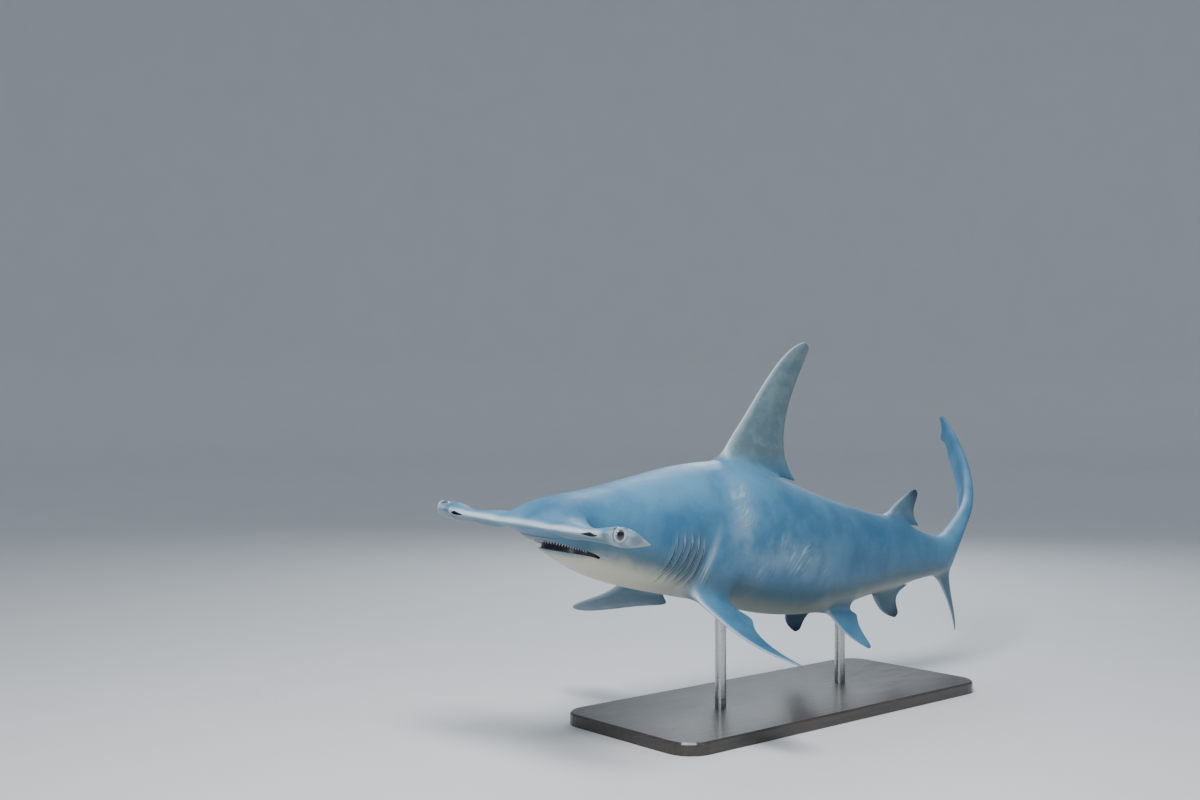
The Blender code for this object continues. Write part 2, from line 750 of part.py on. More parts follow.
def mouth_place(angle, inset=0.0):
    """Point and outward direction on the mouth's path, by angle from its front round to a side."""
    forward, rise = (math.cos(angle) ** power for power in MOUTH_ROUNDING)
    s = MOUTH_CORNER[0] - (MOUTH_CORNER[0] - MOUTH_FRONT[0]) * forward
    y = MOUTH_CORNER[1] * math.sin(angle)
    z = MOUTH_CORNER[2] + (MOUTH_FRONT[1] - MOUTH_CORNER[2]) * rise
    out_s, out_y = -math.cos(angle), math.sin(angle)
    return (s - out_s * inset, y - out_y * inset, z), (out_s, out_y)


def mouth_opening(angle):
    wide, narrow = MOUTH_OPENING
    return narrow + (wide - narrow) * math.cos(angle) ** MOUTH_GAPE


def mouth_slot():
    """The open mouth as one bent block, from one corner round the front to the other."""
    points = []
    for k in range(MOUTH_STEPS + 1):
        angle = MOUTH_SWEEP * (2.0 * k / MOUTH_STEPS - 1.0)
        (s, y, z), (out_s, out_y) = mouth_place(angle)
        half = mouth_opening(angle) / 2
        back = MOUTH_BACK_SHARE * half
        inward = MOUTH_IN[1] + (MOUTH_IN[0] - MOUTH_IN[1]) * math.cos(angle)
        for reach, rise in ((-inward, -back), (MOUTH_OUT, -half), (MOUTH_OUT, half),
                            (-inward, back)):
            points.append(bent((s + out_s * reach, y + out_y * reach, z + rise)))
    return mesh_object("mouth_slot", points, strip_faces(MOUTH_STEPS + 1))


def tooth(name, base, along, out, height, sink):
    """A four-sided tooth: its base sunk in the gum, its point leaning a little into the mouth."""
    width, thick = TOOTH_SIZE[0] / 2, TOOTH_SIZE[1] / 2
    s, y, z = base
    way = 1.0 if height > 0 else -1.0
    points = []
    for a, o in ((-width, -thick), (width, -thick), (width, thick), (-width, thick)):
        points.append((s + along[0] * a + out[0] * o, y + along[1] * a + out[1] * o,
                       z - way * sink))
    points.append((s - out[0] * thick, y - out[1] * thick, z + height))
    faces = [(0, 1, 2, 3), (0, 1, 4), (1, 2, 4), (2, 3, 4), (3, 0, 4)]
    return mesh_object(name, [bent(p) for p in points], faces)


def tooth_inset(ends, angle):
    """How far inside the mouth's path a row's tooth stands, from its insets in front and aside."""
    front, aside = ends
    return aside + (front - aside) * math.cos(angle) ** 2


def build_teeth():
    """Upper and lower rows of teeth along the edges of the mouth."""
    teeth = []
    for k in range(TEETH):
        angle = -TOOTH_SWEEP + 2 * TOOTH_SWEEP * (k + 0.5) / TEETH
        size = 1.0 - TOOTH_SHRINK * (1.0 - math.cos(angle))
        size += TOOTH_VARIATION * math.sin(TOOTH_RHYTHM * k)
        half = mouth_opening(angle) / 2
        for row, ends, way in (("upper", UPPER_INSET, -1.0), ("lower", LOWER_INSET, 1.0)):
            (s, y, z), out = mouth_place(angle, tooth_inset(ends, angle))
            along = (-out[1], out[0])
            height = way * TOOTH_SIZE[2] * size
            if row == "lower":
                height *= LOWER_TOOTH_SHARE
                if abs(angle) > LOWER_SWEEP:
                    continue
            gum = z - way * half * GUM_SHARE
            teeth.append(tooth(f"{row}_tooth_{k}", (s, y, gum), along, out, height, TOOTH_SINK))
    return teeth


def groove(name, path, radii):
    """A round cutter with pointed ends along a path that runs sideways on the straight animal."""
    (s, y, z), (last_s, last_y, last_z) = path[0], path[-1]
    points = [(s, y - math.copysign(radii[0], y), z)]
    for (s, y, z), radius in zip(path, radii):
        for k in range(GROOVE_SIDES):
            angle = 2 * math.pi * k / GROOVE_SIDES
            points.append((s + radius * math.cos(angle), y, z + radius * math.sin(angle)))
    points.append((last_s, last_y + math.copysign(radii[-1], last_y), last_z))
    end = len(points) - 1
    faces = []
    for k in range(GROOVE_SIDES):
        n = (k + 1) % GROOVE_SIDES
        faces.append((0, 1 + k, 1 + n))
        faces.append((end, end - GROOVE_SIDES + k, end - GROOVE_SIDES + n))
        for i in range(len(path) - 1):
            a = 1 + i * GROOVE_SIDES
            faces.append((a + k, a + n, a + GROOVE_SIDES + n, a + GROOVE_SIDES + k))
    return mesh_object(name, [bent(p) for p in points], faces)


def eye_frame(side):
    """Place of an eyeball and the turned frame in which it looks along its own x."""
    centre = bent((EYE_CENTRE[0], side * EYE_CENTRE[1], EYE_CENTRE[2]))
    _, forward, left, up = frame_at(EYE_CENTRE[0])
    outward = left * side
    look = outward * math.cos(EYE_TURN) + forward * math.sin(EYE_TURN)
    across = up.cross(look)
    return centre, Matrix((look, across, up)).transposed()


def ball(name, side, radius):
    """A round eyeball with its poles along the line of sight."""
    centre, turn = eye_frame(side)
    points = [Vector((radius, 0.0, 0.0))]
    for i in range(1, EYE_RINGS):
        tilt = math.pi * i / EYE_RINGS
        for k in range(EYE_SEGMENTS):
            angle = 2 * math.pi * k / EYE_SEGMENTS
            spread = radius * math.sin(tilt)
            points.append(Vector((radius * math.cos(tilt), spread * math.cos(angle),
                                  spread * math.sin(angle))))
    points.append(Vector((-radius, 0.0, 0.0)))
    end = len(points) - 1
    faces = []
    for k in range(EYE_SEGMENTS):
        n = (k + 1) % EYE_SEGMENTS
        faces.append((0, 1 + k, 1 + n))
        faces.append((end, end - EYE_SEGMENTS + k, end - EYE_SEGMENTS + n))
        for i in range(EYE_RINGS - 2):
            a = 1 + i * EYE_SEGMENTS
            faces.append((a + k, a + n, a + EYE_SEGMENTS + n, a + EYE_SEGMENTS + k))
    return mesh_object(name, [centre + turn @ p for p in points], faces)


def lid_ring(name, side):
    """The raised rim of skin round an eye."""
    centre, turn = eye_frame(side)
    points = []
    for k in range(EYE_SEGMENTS):
        angle = 2 * math.pi * k / EYE_SEGMENTS
        for m in range(LID_SIDES):
            bend = 2 * math.pi * m / LID_SIDES
            spread = LID_RADIUS + LID_THICKNESS * math.cos(bend)
            local = Vector((LID_OUT + LID_THICKNESS * math.sin(bend),
                            spread * math.cos(angle), spread * math.sin(angle)))
            points.append(centre + turn @ local)
    faces = []
    for k in range(EYE_SEGMENTS):
        for m in range(LID_SIDES):
            a, b = k * LID_SIDES, ((k + 1) % EYE_SEGMENTS) * LID_SIDES
            n = (m + 1) % LID_SIDES
            faces.append((a + m, a + n, b + n, b + m))
    return mesh_object(name, points, faces)


def flank_point(s, z):
    """Half width of the body at a height, and the outward direction of its skin there."""
    back, belly, half = profile_at(s)
    height = back if z > 0 else belly
    rise = abs(z) / height
    y = half * (1.0 - rise ** SECTION_POWER) ** (1 / SECTION_POWER)
    out_y = (y / half) ** (SECTION_POWER - 1) / half
    out_z = math.copysign(rise ** (SECTION_POWER - 1), z) / height
    length = math.hypot(out_y, out_z)
    return y, out_y / length, out_z / length


def gill_slot(name, top, side):
    """One gill slit: a narrow slot down the flank, cut forward under the flap in front of it."""
    points = []
    for k in range(GILL_STEPS + 1):
        share = k / GILL_STEPS
        s = top[0] - GILL_FORWARD * share ** GILL_LEAN_POWER
        z = top[1] - GILL_LENGTH * share
        y, out_y, out_z = flank_point(s, z)
        width, depth = (size * (end + (1.0 - end) * math.sin(math.pi * share))
                        for size, end in zip((GILL_WIDTH, GILL_DEPTH), GILL_END_SHARE))
        for reach, shift in ((GILL_OUT, -width), (GILL_OUT, width),
                             (-depth, width - GILL_UNDERCUT), (-depth, -width - GILL_UNDERCUT)):
            points.append(bent((s + shift, side * (y + out_y * reach), z + out_z * reach)))
    return mesh_object(name, points, strip_faces(GILL_STEPS + 1))


def fuse(obj, pieces):
    """Joins closed pieces to a node in one union."""
    group = bpy.data.collections.new("pieces")
    for piece in pieces:
        bpy.context.scene.collection.objects.unlink(piece)
        group.objects.link(piece)
    bpy.context.scene.collection.children.link(group)
    modifier = obj.modifiers.new("union", "BOOLEAN")
    modifier.operation = "UNION"
    modifier.solver = "EXACT"
    modifier.operand_type = "COLLECTION"
    modifier.collection = group
    apply_modifiers(obj)
    for piece in list(group.objects):
        bpy.data.objects.remove(piece)
    bpy.data.collections.remove(group)
    return tidy(obj)


def finish_head(head):
    """Opens the mouth, nostrils and eye sockets and adds the teeth and lids."""
    for side, prefix in ((1, "left"), (-1, "right")):
        fuse(head, [lid_ring(prefix + "_lid", side)])
    add_cut(head, "DIFFERENCE", mouth_slot())
    for side, prefix in ((1, "left"), (-1, "right")):
        path = [(s, side * y, z) for s, y, z in NOSTRIL_PATH]
        add_cut(head, "DIFFERENCE", groove(prefix + "_nostril", path, NOSTRIL_RADII))
        add_cut(head, "DIFFERENCE", ball(prefix + "_socket", side, EYE_RADIUS + TOUCH_GAP))
    tidy(apply_modifiers(head))
    return fuse(head, build_teeth())


def open_gills(torso):
    for side, prefix in ((1, "left"), (-1, "right")):
        for k, top in enumerate(GILL_TOPS):
            add_cut(torso, "DIFFERENCE", gill_slot(f"{prefix}_gill_{k}", top, side))
    return tidy(apply_modifiers(torso))


def upright_rod(name, foot, top, radius):
    """A plain upright cylinder between two heights."""
    points, faces = [], []
    for z in (foot.z, top):
        for k in range(ROD_SIDES):
            angle = 2 * math.pi * k / ROD_SIDES
            points.append((foot.x + radius * math.cos(angle), foot.y + radius * math.sin(angle), z))
    for k in range(ROD_SIDES):
        n = (k + 1) % ROD_SIDES
        faces.append((k, n, ROD_SIDES + n, ROD_SIDES + k))
    faces += [tuple(range(ROD_SIDES)), tuple(range(ROD_SIDES, 2 * ROD_SIDES))]
    return mesh_object(name, points, faces)


def rounded_outline(half_x, half_y, corner):
    """Corner arcs of a rectangle, in order round it."""
    outline = []
    for quarter, (sx, sy) in enumerate(((1, 1), (-1, 1), (-1, -1), (1, -1))):
        for k in range(BOARD_CORNER_STEPS + 1):
            angle = math.pi / 2 * (quarter + k / BOARD_CORNER_STEPS)
            outline.append((sx * (half_x - corner) + corner * math.cos(angle),
                            sy * (half_y - corner) + corner * math.sin(angle)))
    return outline


def build_board():
    """The flat board, its top edge eased."""
    half_x, half_y = BOARD_SIZE[0] / 2, BOARD_SIZE[1] / 2
    x = SPINE_PLACE[0] - BOARD_BEHIND
    layers = [(0.0, 0.0), (0.0, BOARD_SIZE[2] - BOARD_EDGE), (BOARD_EDGE, BOARD_SIZE[2])]
    points = []
    for inset, z in layers:
        outline = rounded_outline(half_x - inset, half_y - inset, BOARD_CORNER - inset)
        points += [(x + a, SPINE_PLACE[1] + b, z) for a, b in outline]
    count = len(points) // len(layers)
    faces = [tuple(range(count)), tuple(range(len(points) - count, len(points)))]
    for i in range(len(layers) - 1):
        for k in range(count):
            n = (k + 1) % count
            faces.append((i * count + k, i * count + n, (i + 1) * count + n, (i + 1) * count + k))
    return mesh_object("stand_base", points, faces)


def build_stand(torso):
    """Board and rods, with a blind socket for each rod end in the board and the body."""
    board = build_board()
    nodes = {"stand_base": board}
    seat = BOARD_SIZE[2] - ROD_INTO_BOARD
    for name, s in zip(("stand_rod_front", "stand_rod_rear"), ROD_STATIONS):
        under = bent((s, 0.0, -profile_at(s)[1]))
        top = under.z + ROD_INTO_BODY
        foot = Vector((under.x, under.y, seat))
        nodes[name] = upright_rod(name, foot, top, ROD_RADIUS)
        foot.z -= TOUCH_GAP
        socket = upright_rod(name + "_socket", foot, top + TOUCH_GAP, ROD_RADIUS + TOUCH_GAP)
        add_cut(board, "DIFFERENCE", socket)
        add_cut(torso, "DIFFERENCE", socket)
    tidy(apply_modifiers(board))
    tidy(apply_modifiers(torso))
    return nodes


MATERIAL_OF = {
    "eye": "eye_glass",
    "fin": "fin_hide",
    "stand_base": "stand_board",
    "stand_rod": "stand_steel",
}


def finish(obj, name):
    """Names the node and gives it its own material."""
    obj.name = name
    obj.data.name = name
    slot = next((slot for word, slot in MATERIAL_OF.items() if word in name), "hide")
    obj.data.materials.clear()
    obj.data.materials.append(bpy.data.materials.get(slot) or make_material(slot))
    for face in obj.data.polygons:
        face.use_smooth = not name.startswith("stand_base")


def main():
    clear_scene()
    whole = build_whole()
    nodes = build_flesh(whole)
    finish_head(nodes["head"])
    open_gills(nodes["torso"])
    nodes.update(build_stand(nodes["torso"]))
    nodes["left_eye"] = ball("left_eye", 1, EYE_RADIUS)
    nodes["right_eye"] = ball("right_eye", -1, EYE_RADIUS)
    for obj in list(bpy.data.objects):
        if obj not in nodes.values():
            bpy.data.objects.remove(obj)
    for name, obj in nodes.items():
        finish(obj, name)


main()
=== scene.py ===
"""Looks of the great hammerhead shark model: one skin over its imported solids, eyes and teeth.

The skin is drawn like the solids, on a straight animal: s runs back from the snout, y to its
left and z up, in metres. bend_all() then lays it along the curved spine.
"""
import math

import bmesh
import bpy
import numpy as np
from mathutils import Matrix, Vector
from mathutils.kdtree import KDTree

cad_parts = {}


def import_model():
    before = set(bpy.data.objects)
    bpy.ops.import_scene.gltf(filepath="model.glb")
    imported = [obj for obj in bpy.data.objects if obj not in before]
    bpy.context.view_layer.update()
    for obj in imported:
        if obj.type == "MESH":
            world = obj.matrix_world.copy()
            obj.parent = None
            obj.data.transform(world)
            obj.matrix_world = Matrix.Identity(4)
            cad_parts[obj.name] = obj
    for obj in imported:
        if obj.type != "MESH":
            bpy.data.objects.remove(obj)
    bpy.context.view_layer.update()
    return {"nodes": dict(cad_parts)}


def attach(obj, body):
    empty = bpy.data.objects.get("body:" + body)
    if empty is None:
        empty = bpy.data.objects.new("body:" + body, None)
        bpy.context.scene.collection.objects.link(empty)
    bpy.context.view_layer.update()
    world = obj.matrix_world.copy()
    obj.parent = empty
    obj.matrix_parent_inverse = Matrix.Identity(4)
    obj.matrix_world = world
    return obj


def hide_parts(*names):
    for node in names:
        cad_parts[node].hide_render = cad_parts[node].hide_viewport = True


# Whole animal and its pose
TOTAL_LENGTH = 3.0
NOSE_UP = math.radians(6.7)
LEFT_SIDE_UP = math.radians(-2.2)
POSE_STATION = 0.84
SPINE_PLACE = (0.5254, 0.0132, 0.600)
# (station, sideways bend, upward bend) of the spine, in radians for each metre
SPINE_BENDS = [
    (0.00, -0.285, -0.077),
    (0.36, -0.285, -0.077),
    (0.66, -0.117, -0.067),
    (1.08, 0.097, 0.002),
    (1.56, -0.080, 0.040),
    (2.04, 0.260, 0.059),
    (2.40, 1.775, 0.059),
    (3.00, 1.775, 0.059),
]
SPINE_STEP = 0.004
SPINE_ROOM = 0.10

# Sections and mesh density
SKIN_LEVEL = 3
THICKEST_SHARE = 0.25
THINNING_POWER = 1.3
THINNEST_SHARE = 0.06
CHORD_SHARES = (0.07, 0.94)
RING = 16
RING_HALF = 8
SECTION_POWER = 2.25
SMOOTHING_SWELL = 1.026
SHARP_ANGLE = math.radians(48.0)
# Places that get a finer mesh before they are sculpted: (low s, y, z), (high s, y, z)
FINE_PLACES = [
    ((0.470, 0.070, -0.150), (0.680, 0.260, 0.050)),
    ((0.470, -0.260, -0.150), (0.680, -0.070, 0.050)),
    ((0.070, -0.150, -0.130), (0.300, 0.150, -0.020)),
    ((-0.030, 0.290, -0.060), (0.100, 0.400, 0.060)),
    ((-0.030, -0.400, -0.060), (0.100, -0.290, 0.060)),
]
FINE_CUTS = 3
FINE_SMOOTHINGS = 6

# (station, back height, belly depth, half width) of the body
BODY_PROFILE = [
    (0.014, 0.014, 0.010, 0.106),
    (0.040, 0.041, 0.021, 0.111),
    (0.080, 0.067, 0.036, 0.114),
    (0.122, 0.084, 0.053, 0.113),
    (0.165, 0.097, 0.085, 0.112),
    (0.225, 0.110, 0.114, 0.115),
    (0.310, 0.131, 0.139, 0.132),
    (0.430, 0.168, 0.160, 0.156),
    (0.560, 0.207, 0.173, 0.177),
    (0.625, 0.228, 0.179, 0.184),
    (0.685, 0.242, 0.185, 0.189),
    (0.745, 0.254, 0.190, 0.194),
    (0.805, 0.264, 0.195, 0.198),
    (0.850, 0.268, 0.200, 0.200),
    (0.920, 0.268, 0.210, 0.201),
    (0.995, 0.259, 0.222, 0.199),
    (1.070, 0.246, 0.231, 0.194),
    (1.140, 0.232, 0.236, 0.187),
    (1.225, 0.215, 0.237, 0.177),
    (1.310, 0.198, 0.234, 0.165),
    (1.375, 0.187, 0.229, 0.155),
    (1.425, 0.179, 0.222, 0.148),
    (1.475, 0.172, 0.212, 0.141),
    (1.525, 0.165, 0.200, 0.134),
    (1.640, 0.152, 0.168, 0.119),
    (1.755, 0.142, 0.140, 0.103),
    (1.810, 0.135, 0.126, 0.097),
    (1.865, 0.126, 0.112, 0.090),
    (1.925, 0.114, 0.098, 0.082),
    (2.025, 0.096, 0.075, 0.071),
    (2.130, 0.089, 0.057, 0.061),
]
# (upper edge s, z, lower edge s, z, half thickness, sideways trail of the lower edge)
UPPER_LOBE = [
    (2.178, 0.103, 2.178, -0.056, 0.056, 0.000),
    (2.222, 0.132, 2.228, -0.056, 0.049, 0.001),
    (2.264, 0.160, 2.272, -0.026, 0.043, 0.008),
    (2.310, 0.191, 2.306, 0.034, 0.036, 0.022),
    (2.385, 0.234, 2.372, 0.106, 0.029, 0.042),
    (2.480, 0.293, 2.480, 0.182, 0.023, 0.050),
    (2.585, 0.386, 2.606, 0.281, 0.018, 0.041),
    (2.690, 0.484, 2.724, 0.386, 0.014, 0.024),
    (2.762, 0.557, 2.812, 0.474, 0.011, 0.010),
    (2.793, 0.587, 2.832, 0.536, 0.010, 0.003),
    (2.808, 0.601, 2.886, 0.548, 0.008, 0.000),
    (2.830, 0.623, 2.864, 0.586, 0.007, 0.000),
    (2.875, 0.666, 2.888, 0.650, 0.006, 0.000),
]
LOBE_CHORD = [0.0, 0.05, 0.17, 0.33, 0.50, 0.67, 0.83, 0.95, 1.0]
LOBE_FLESH = [0.0, 0.60, 1.00, 0.95, 0.62, 0.38, 0.24, 0.16, 0.0]
LOBE_BLEND_RINGS = 4

# Fins. Each row is (front a, rear a, front h, rear h, half thickness): a runs back along
# the body and h out along the fin, from the spine line or from the fin's own root line.
FIRST_DORSAL = [
    (0.856, 1.128, 0.296, 0.248, 0.030),
    (0.890, 1.262, 0.358, 0.224, 0.020),
    (0.936, 1.214, 0.420, 0.248, 0.017),
    (0.985, 1.158, 0.496, 0.324, 0.015),
    (1.039, 1.147, 0.576, 0.436, 0.013),
    (1.099, 1.177, 0.653, 0.552, 0.010),
    (1.160, 1.217, 0.703, 0.650, 0.007),
    (1.204, 1.242, 0.722, 0.702, 0.005),
]
SECOND_DORSAL = [
    (1.782, 1.926, 0.156, 0.126, 0.017),
    (1.806, 2.008, 0.184, 0.118, 0.010),
    (1.846, 1.956, 0.213, 0.142, 0.008),
    (1.892, 1.936, 0.243, 0.182, 0.006),
    (1.936, 1.960, 0.262, 0.240, 0.003),
]
ANAL_FIN = [
    (1.748, 1.920, 0.162, 0.112, 0.016),
    (1.770, 1.980, 0.186, 0.100, 0.010),
    (1.798, 1.914, 0.208, 0.128, 0.008),
    (1.842, 1.886, 0.228, 0.168, 0.006),
    (1.900, 1.924, 0.237, 0.214, 0.003),
]
LOWER_LOBE = [
    (2.174, 2.270, 0.075, 0.062, 0.018),
    (2.216, 2.288, 0.106, 0.092, 0.014),
    (2.286, 2.330, 0.157, 0.146, 0.010),
    (2.366, 2.400, 0.216, 0.208, 0.007),
    (2.448, 2.478, 0.272, 0.266, 0.003),
]
PECTORAL = [
    (0.632, 0.800, 0.026, 0.022, 0.026),
    (0.638, 0.848, 0.074, 0.052, 0.019),
    (0.647, 0.880, 0.138, 0.080, 0.015),
    (0.650, 0.808, 0.214, 0.150, 0.012),
    (0.658, 0.778, 0.306, 0.256, 0.009),
    (0.686, 0.766, 0.388, 0.354, 0.006),
    (0.722, 0.762, 0.436, 0.420, 0.004),
]
PECTORAL_ROOT = (0.660, 0.138, -0.152)
PECTORAL_DROOP = {"left": math.radians(33.0), "right": math.radians(30.5)}
PECTORAL_CURL = {"left": math.radians(-25.5), "right": math.radians(-23.0)}
PECTORAL_PITCH = {"left": math.tan(math.radians(9.0)), "right": math.tan(math.radians(14.0))}
PECTORAL_REACH = 0.43
PECTORAL_SWEEP = {"left": 0.0, "right": 0.060}
PELVIC = [
    (1.380, 1.512, 0.018, 0.016, 0.015),
    (1.388, 1.556, 0.054, 0.024, 0.010),
    (1.404, 1.526, 0.094, 0.060, 0.008),
    (1.446, 1.524, 0.136, 0.108, 0.005),
    (1.510, 1.542, 0.169, 0.159, 0.003),
]
PELVIC_ROOT = (1.40, 0.072, -0.198)
PELVIC_DROOP = math.radians(44.0)
PELVIC_CURL = math.radians(10.0)
PELVIC_PITCH = 0.0
PELVIC_REACH = 0.16
PELVIC_SWEEP = {"left": 0.0, "right": 0.15}

# Hammer wings: (front s, rear s, front y, rear y, half thickness, front z, rear z)
HAMMER = [
    (0.001, 0.176, 0.140, 0.140, 0.033, -0.008, 0.010),
    (-0.002, 0.158, 0.200, 0.198, 0.022, -0.008, -0.002),
    (-0.001, 0.158, 0.262, 0.254, 0.021, -0.005, -0.008),
    (0.001, 0.172, 0.304, 0.298, 0.027, 0.003, -0.010),
    (0.009, 0.188, 0.334, 0.329, 0.034, 0.006, -0.013),
    (0.031, 0.184, 0.361, 0.353, 0.028, 0.006, -0.013),
    (0.062, 0.168, 0.378, 0.371, 0.017, 0.004, -0.009),
]
# Front edge of the hammer between the wings, from the midline out: s and z at each row
FRONT_EDGE = [(0.010, -0.006), (0.002, -0.008), (0.000, -0.010), (0.000, -0.010), (0.000, -0.010)]
NOSE_DROP = [0.009, 0.005, 0.002]

# Where each fin grows: (first station, last station, middle row, row of its left or upper side)
ROOTS = {
    "first_dorsal": (0.850, 1.140, 0, 1),
    "second_dorsal": (1.755, 1.925, 0, 1),
    "anal": (1.755, 1.925, 8, 7),
    "lower_lobe": (2.130, 2.264, 8, 7),
    "left_pectoral": (0.625, 0.805, 6, 5),
    "right_pectoral": (0.625, 0.805, 10, 11),
    "left_pelvic": (1.375, 1.525, 7, 6),
    "right_pelvic": (1.375, 1.525, 9, 10),
    "left_wing": (0.014, 0.165, 4, 3),
    "right_wing": (0.014, 0.165, 12, 13),
}
EDGE_REACH = 0.025
# Rounding of a fin's tip, in shares of its last chord: what is left of it, and how far past it
TIP_ROUNDING = (0.40, 0.14)
MARKS = ("fin", "lead", "trail", "dusk")

# Mouth: a slot round the lower front of the head, open at the front and narrow at the corners
MOUTH_FRONT = (0.120, -0.0595)
MOUTH_CORNER = (0.266, 0.113, -0.086)
MOUTH_SWEEP = math.radians(88.0)
MOUTH_ROUNDING = (0.8, 0.28)
MOUTH_OPENING = (0.036, 0.005)
MOUTH_GAPE = 0.6
MOUTH_IN = (0.044, 0.018)
MOUTH_IN_POWER = 4
MOUTH_OUT = 0.060
MOUTH_BACK_SHARE = 0.6
MOUTH_STEPS = 64
LIP_BULGE = 0.0035
LIP_WIDTH = 0.010
TEETH = 34
TOOTH_SWEEP = math.radians(70.0)
TOOTH_SIZE = (0.0068, 0.0028, 0.0085)
TOOTH_SHRINK = 0.35
TOOTH_VARIATION = 0.08
TOOTH_RHYTHM = 5.0
TOOTH_LEAN = 0.12
GUM_SHARE = 0.80
LOWER_TOOTH_SHARE = 0.6
LOWER_SWEEP = math.radians(56.0)
TOOTH_SINK = 0.004
UPPER_INSET = (-0.012, 0.012)
LOWER_INSET = (0.040, 0.016)

# Eyes, lids and nostrils on the hammer's ends
EYE_CENTRE = (0.029, 0.346, 0.005)
EYE_RADIUS = 0.0215
EYE_TURN = math.radians(20.0)
EYE_STEPS = (32, 48)
LID_OUT = 0.0132
LID_RADIUS = 0.0182
LID_THICKNESS = 0.0034
LID_STEPS = (48, 16)
EYE_MOUND = (0.0045, 22.0, 0.003)
EYE_MOUND_REACH = 0.048
NOSTRIL_PATH = [(0.006, 0.216, -0.008), (0.001, 0.244, -0.007), (0.002, 0.272, -0.005),
                (0.007, 0.292, -0.004)]
NOSTRIL_RADII = [0.0008, 0.0022, 0.0072, 0.0030]
NOSTRIL_FLAP = (0.262, 0.286, 0.0045)
GROOVE_SIDES = 12
GROOVE_REFINE = 6

# Gill slits on each side: (station, height) of the top of each
GILL_TOPS = [(0.526, -0.004), (0.556, 0.002), (0.585, 0.004), (0.612, 0.000), (0.638, -0.012)]
GILL_LENGTH = 0.105
GILL_FORWARD = 0.026
GILL_WIDTH = 0.0020
GILL_DEPTH = 0.013
GILL_UNDERCUT = 0.012
GILL_OUT = 0.012
GILL_END_SHARE = (0.25, 0.40)
GILL_LEAN_POWER = 1.6
GILL_STEPS = 20
FLAP_RISE = 0.0045
FLAP_SPAN = 0.028
FLAP_EDGE = 0.0015
FLAP_FADE = 0.022
# Skin folds over the pectoral fin's root: (station, height, reach along, reach up)
FOLD_PLACE = (0.655, -0.085, 0.035, 0.040)
FOLD_SIZE = (0.0010, 0.013)
FOLD_LEAN = 0.30

# Height of the line where the back's colour gives way to the belly's, by station.
# In front of the mouth it lies below the head, so the snout's underside keeps the back's blue:
# painted shade under the hammer.
BELLY_LINE = [
    (0.00, -0.090), (0.12, -0.095), (0.17, -0.074), (0.24, -0.052), (0.34, -0.058),
    (0.52, -0.090),
    (0.70, -0.130), (0.95, -0.165), (1.25, -0.172), (1.50, -0.138), (1.80, -0.086),
    (2.10, -0.052), (2.30, -0.090), (3.00, -0.400),
]
BELLY_SOFTNESS = 0.075
# Stations between which the cream of the throat gives way to the belly's grey, painted shade on the
# pale belly,
# and the cream patch before the anal fin: (station, reach, strength)
THROAT_END = (0.40, 0.80)
VENT_PATCH = (1.60, 0.13, 0.6)
# Painted shade round the rear gill slits, and the pale streak behind them:
# (station, height, reach along, reach up)
GILL_SHADE = (0.605, -0.045, 0.050, 0.075)
SHOULDER = (0.668, -0.055, 0.013, 0.085)
SHOULDER_LEAN = 0.25
# How dusky the tip of each fin is
TIP_DUSK = {
    "first_dorsal": 0.15, "second_dorsal": 0.95, "anal": 0.85, "lower_lobe": 0.25,
    "left_pectoral": 0.30, "right_pectoral": 0.30, "left_pelvic": 0.35, "right_pelvic": 0.75,
}
# Patches of old scratches on the flanks: (station, height, reach along, reach up)
SCRATCHES = [(0.93, -0.02, 0.13, 0.08), (1.16, -0.04, 0.11, 0.07), (0.80, 0.10, 0.05, 0.10)]

# Colours, as linear red, green and blue
BACK = (0.032, 0.130, 0.250)
BACK_LIGHT = (0.075, 0.222, 0.365)
FLANK = (0.070, 0.145, 0.195)
# Grey of the belly behind the throat: painted shade on the pale belly
SHADED_BELLY = (0.300, 0.335, 0.310)
CREAM = (0.540, 0.530, 0.430)
PALE = (0.520, 0.620, 0.680)
DUSK = (0.012, 0.034, 0.062)
FIN_GREY = (0.098, 0.158, 0.180)
FIN_GREY_LIGHT = (0.148, 0.213, 0.232)
# Grey of the painted shade at the gill slits, also the eyeball's outer part
GILL_GREY = (0.060, 0.085, 0.110)
LOBE = (0.200, 0.260, 0.330)
LOBE_LIGHT = (0.360, 0.420, 0.480)
EYE_WHITE = (0.480, 0.570, 0.640)
# Near-black lining of the openings: painted shade
LINING_SHADE = (0.010, 0.016, 0.030)
# Teeth grey rather than white: painted shade inside the mouth
SHADED_ENAMEL = (0.360, 0.380, 0.380)

# Camera: where the photograph was taken from
CAMERA_YAW = 0.7022
CAMERA_OFFSET = (0.3615, 0.471, 4.576)
CAMERA_LENS = 41.2


def build_spine():
    """Stations along the spine with turn, climb and place at each, all zero at the pose station."""
    stations = np.arange(-SPINE_ROOM, TOTAL_LENGTH + SPINE_ROOM, SPINE_STEP)
    bends = np.array(SPINE_BENDS)
    turn = np.cumsum(np.interp(stations, bends[:, 0], bends[:, 1])) * SPINE_STEP
    climb = np.cumsum(np.interp(stations, bends[:, 0], bends[:, 2])) * SPINE_STEP
    turn -= np.interp(POSE_STATION, stations, turn)
    climb -= np.interp(POSE_STATION, stations, climb)
    forward = [np.cos(turn) * np.cos(climb), np.sin(turn) * np.cos(climb), np.sin(climb)]
    place = -np.cumsum(np.stack(forward, axis=1), axis=0) * SPINE_STEP
    place -= [np.interp(POSE_STATION, stations, place[:, k]) for k in range(3)]
    return stations, turn, climb, place


SPINE = build_spine()
LEVEL = np.array(Matrix.Rotation(-NOSE_UP, 3, "Y") @ Matrix.Rotation(LEFT_SIDE_UP, 3, "X"))


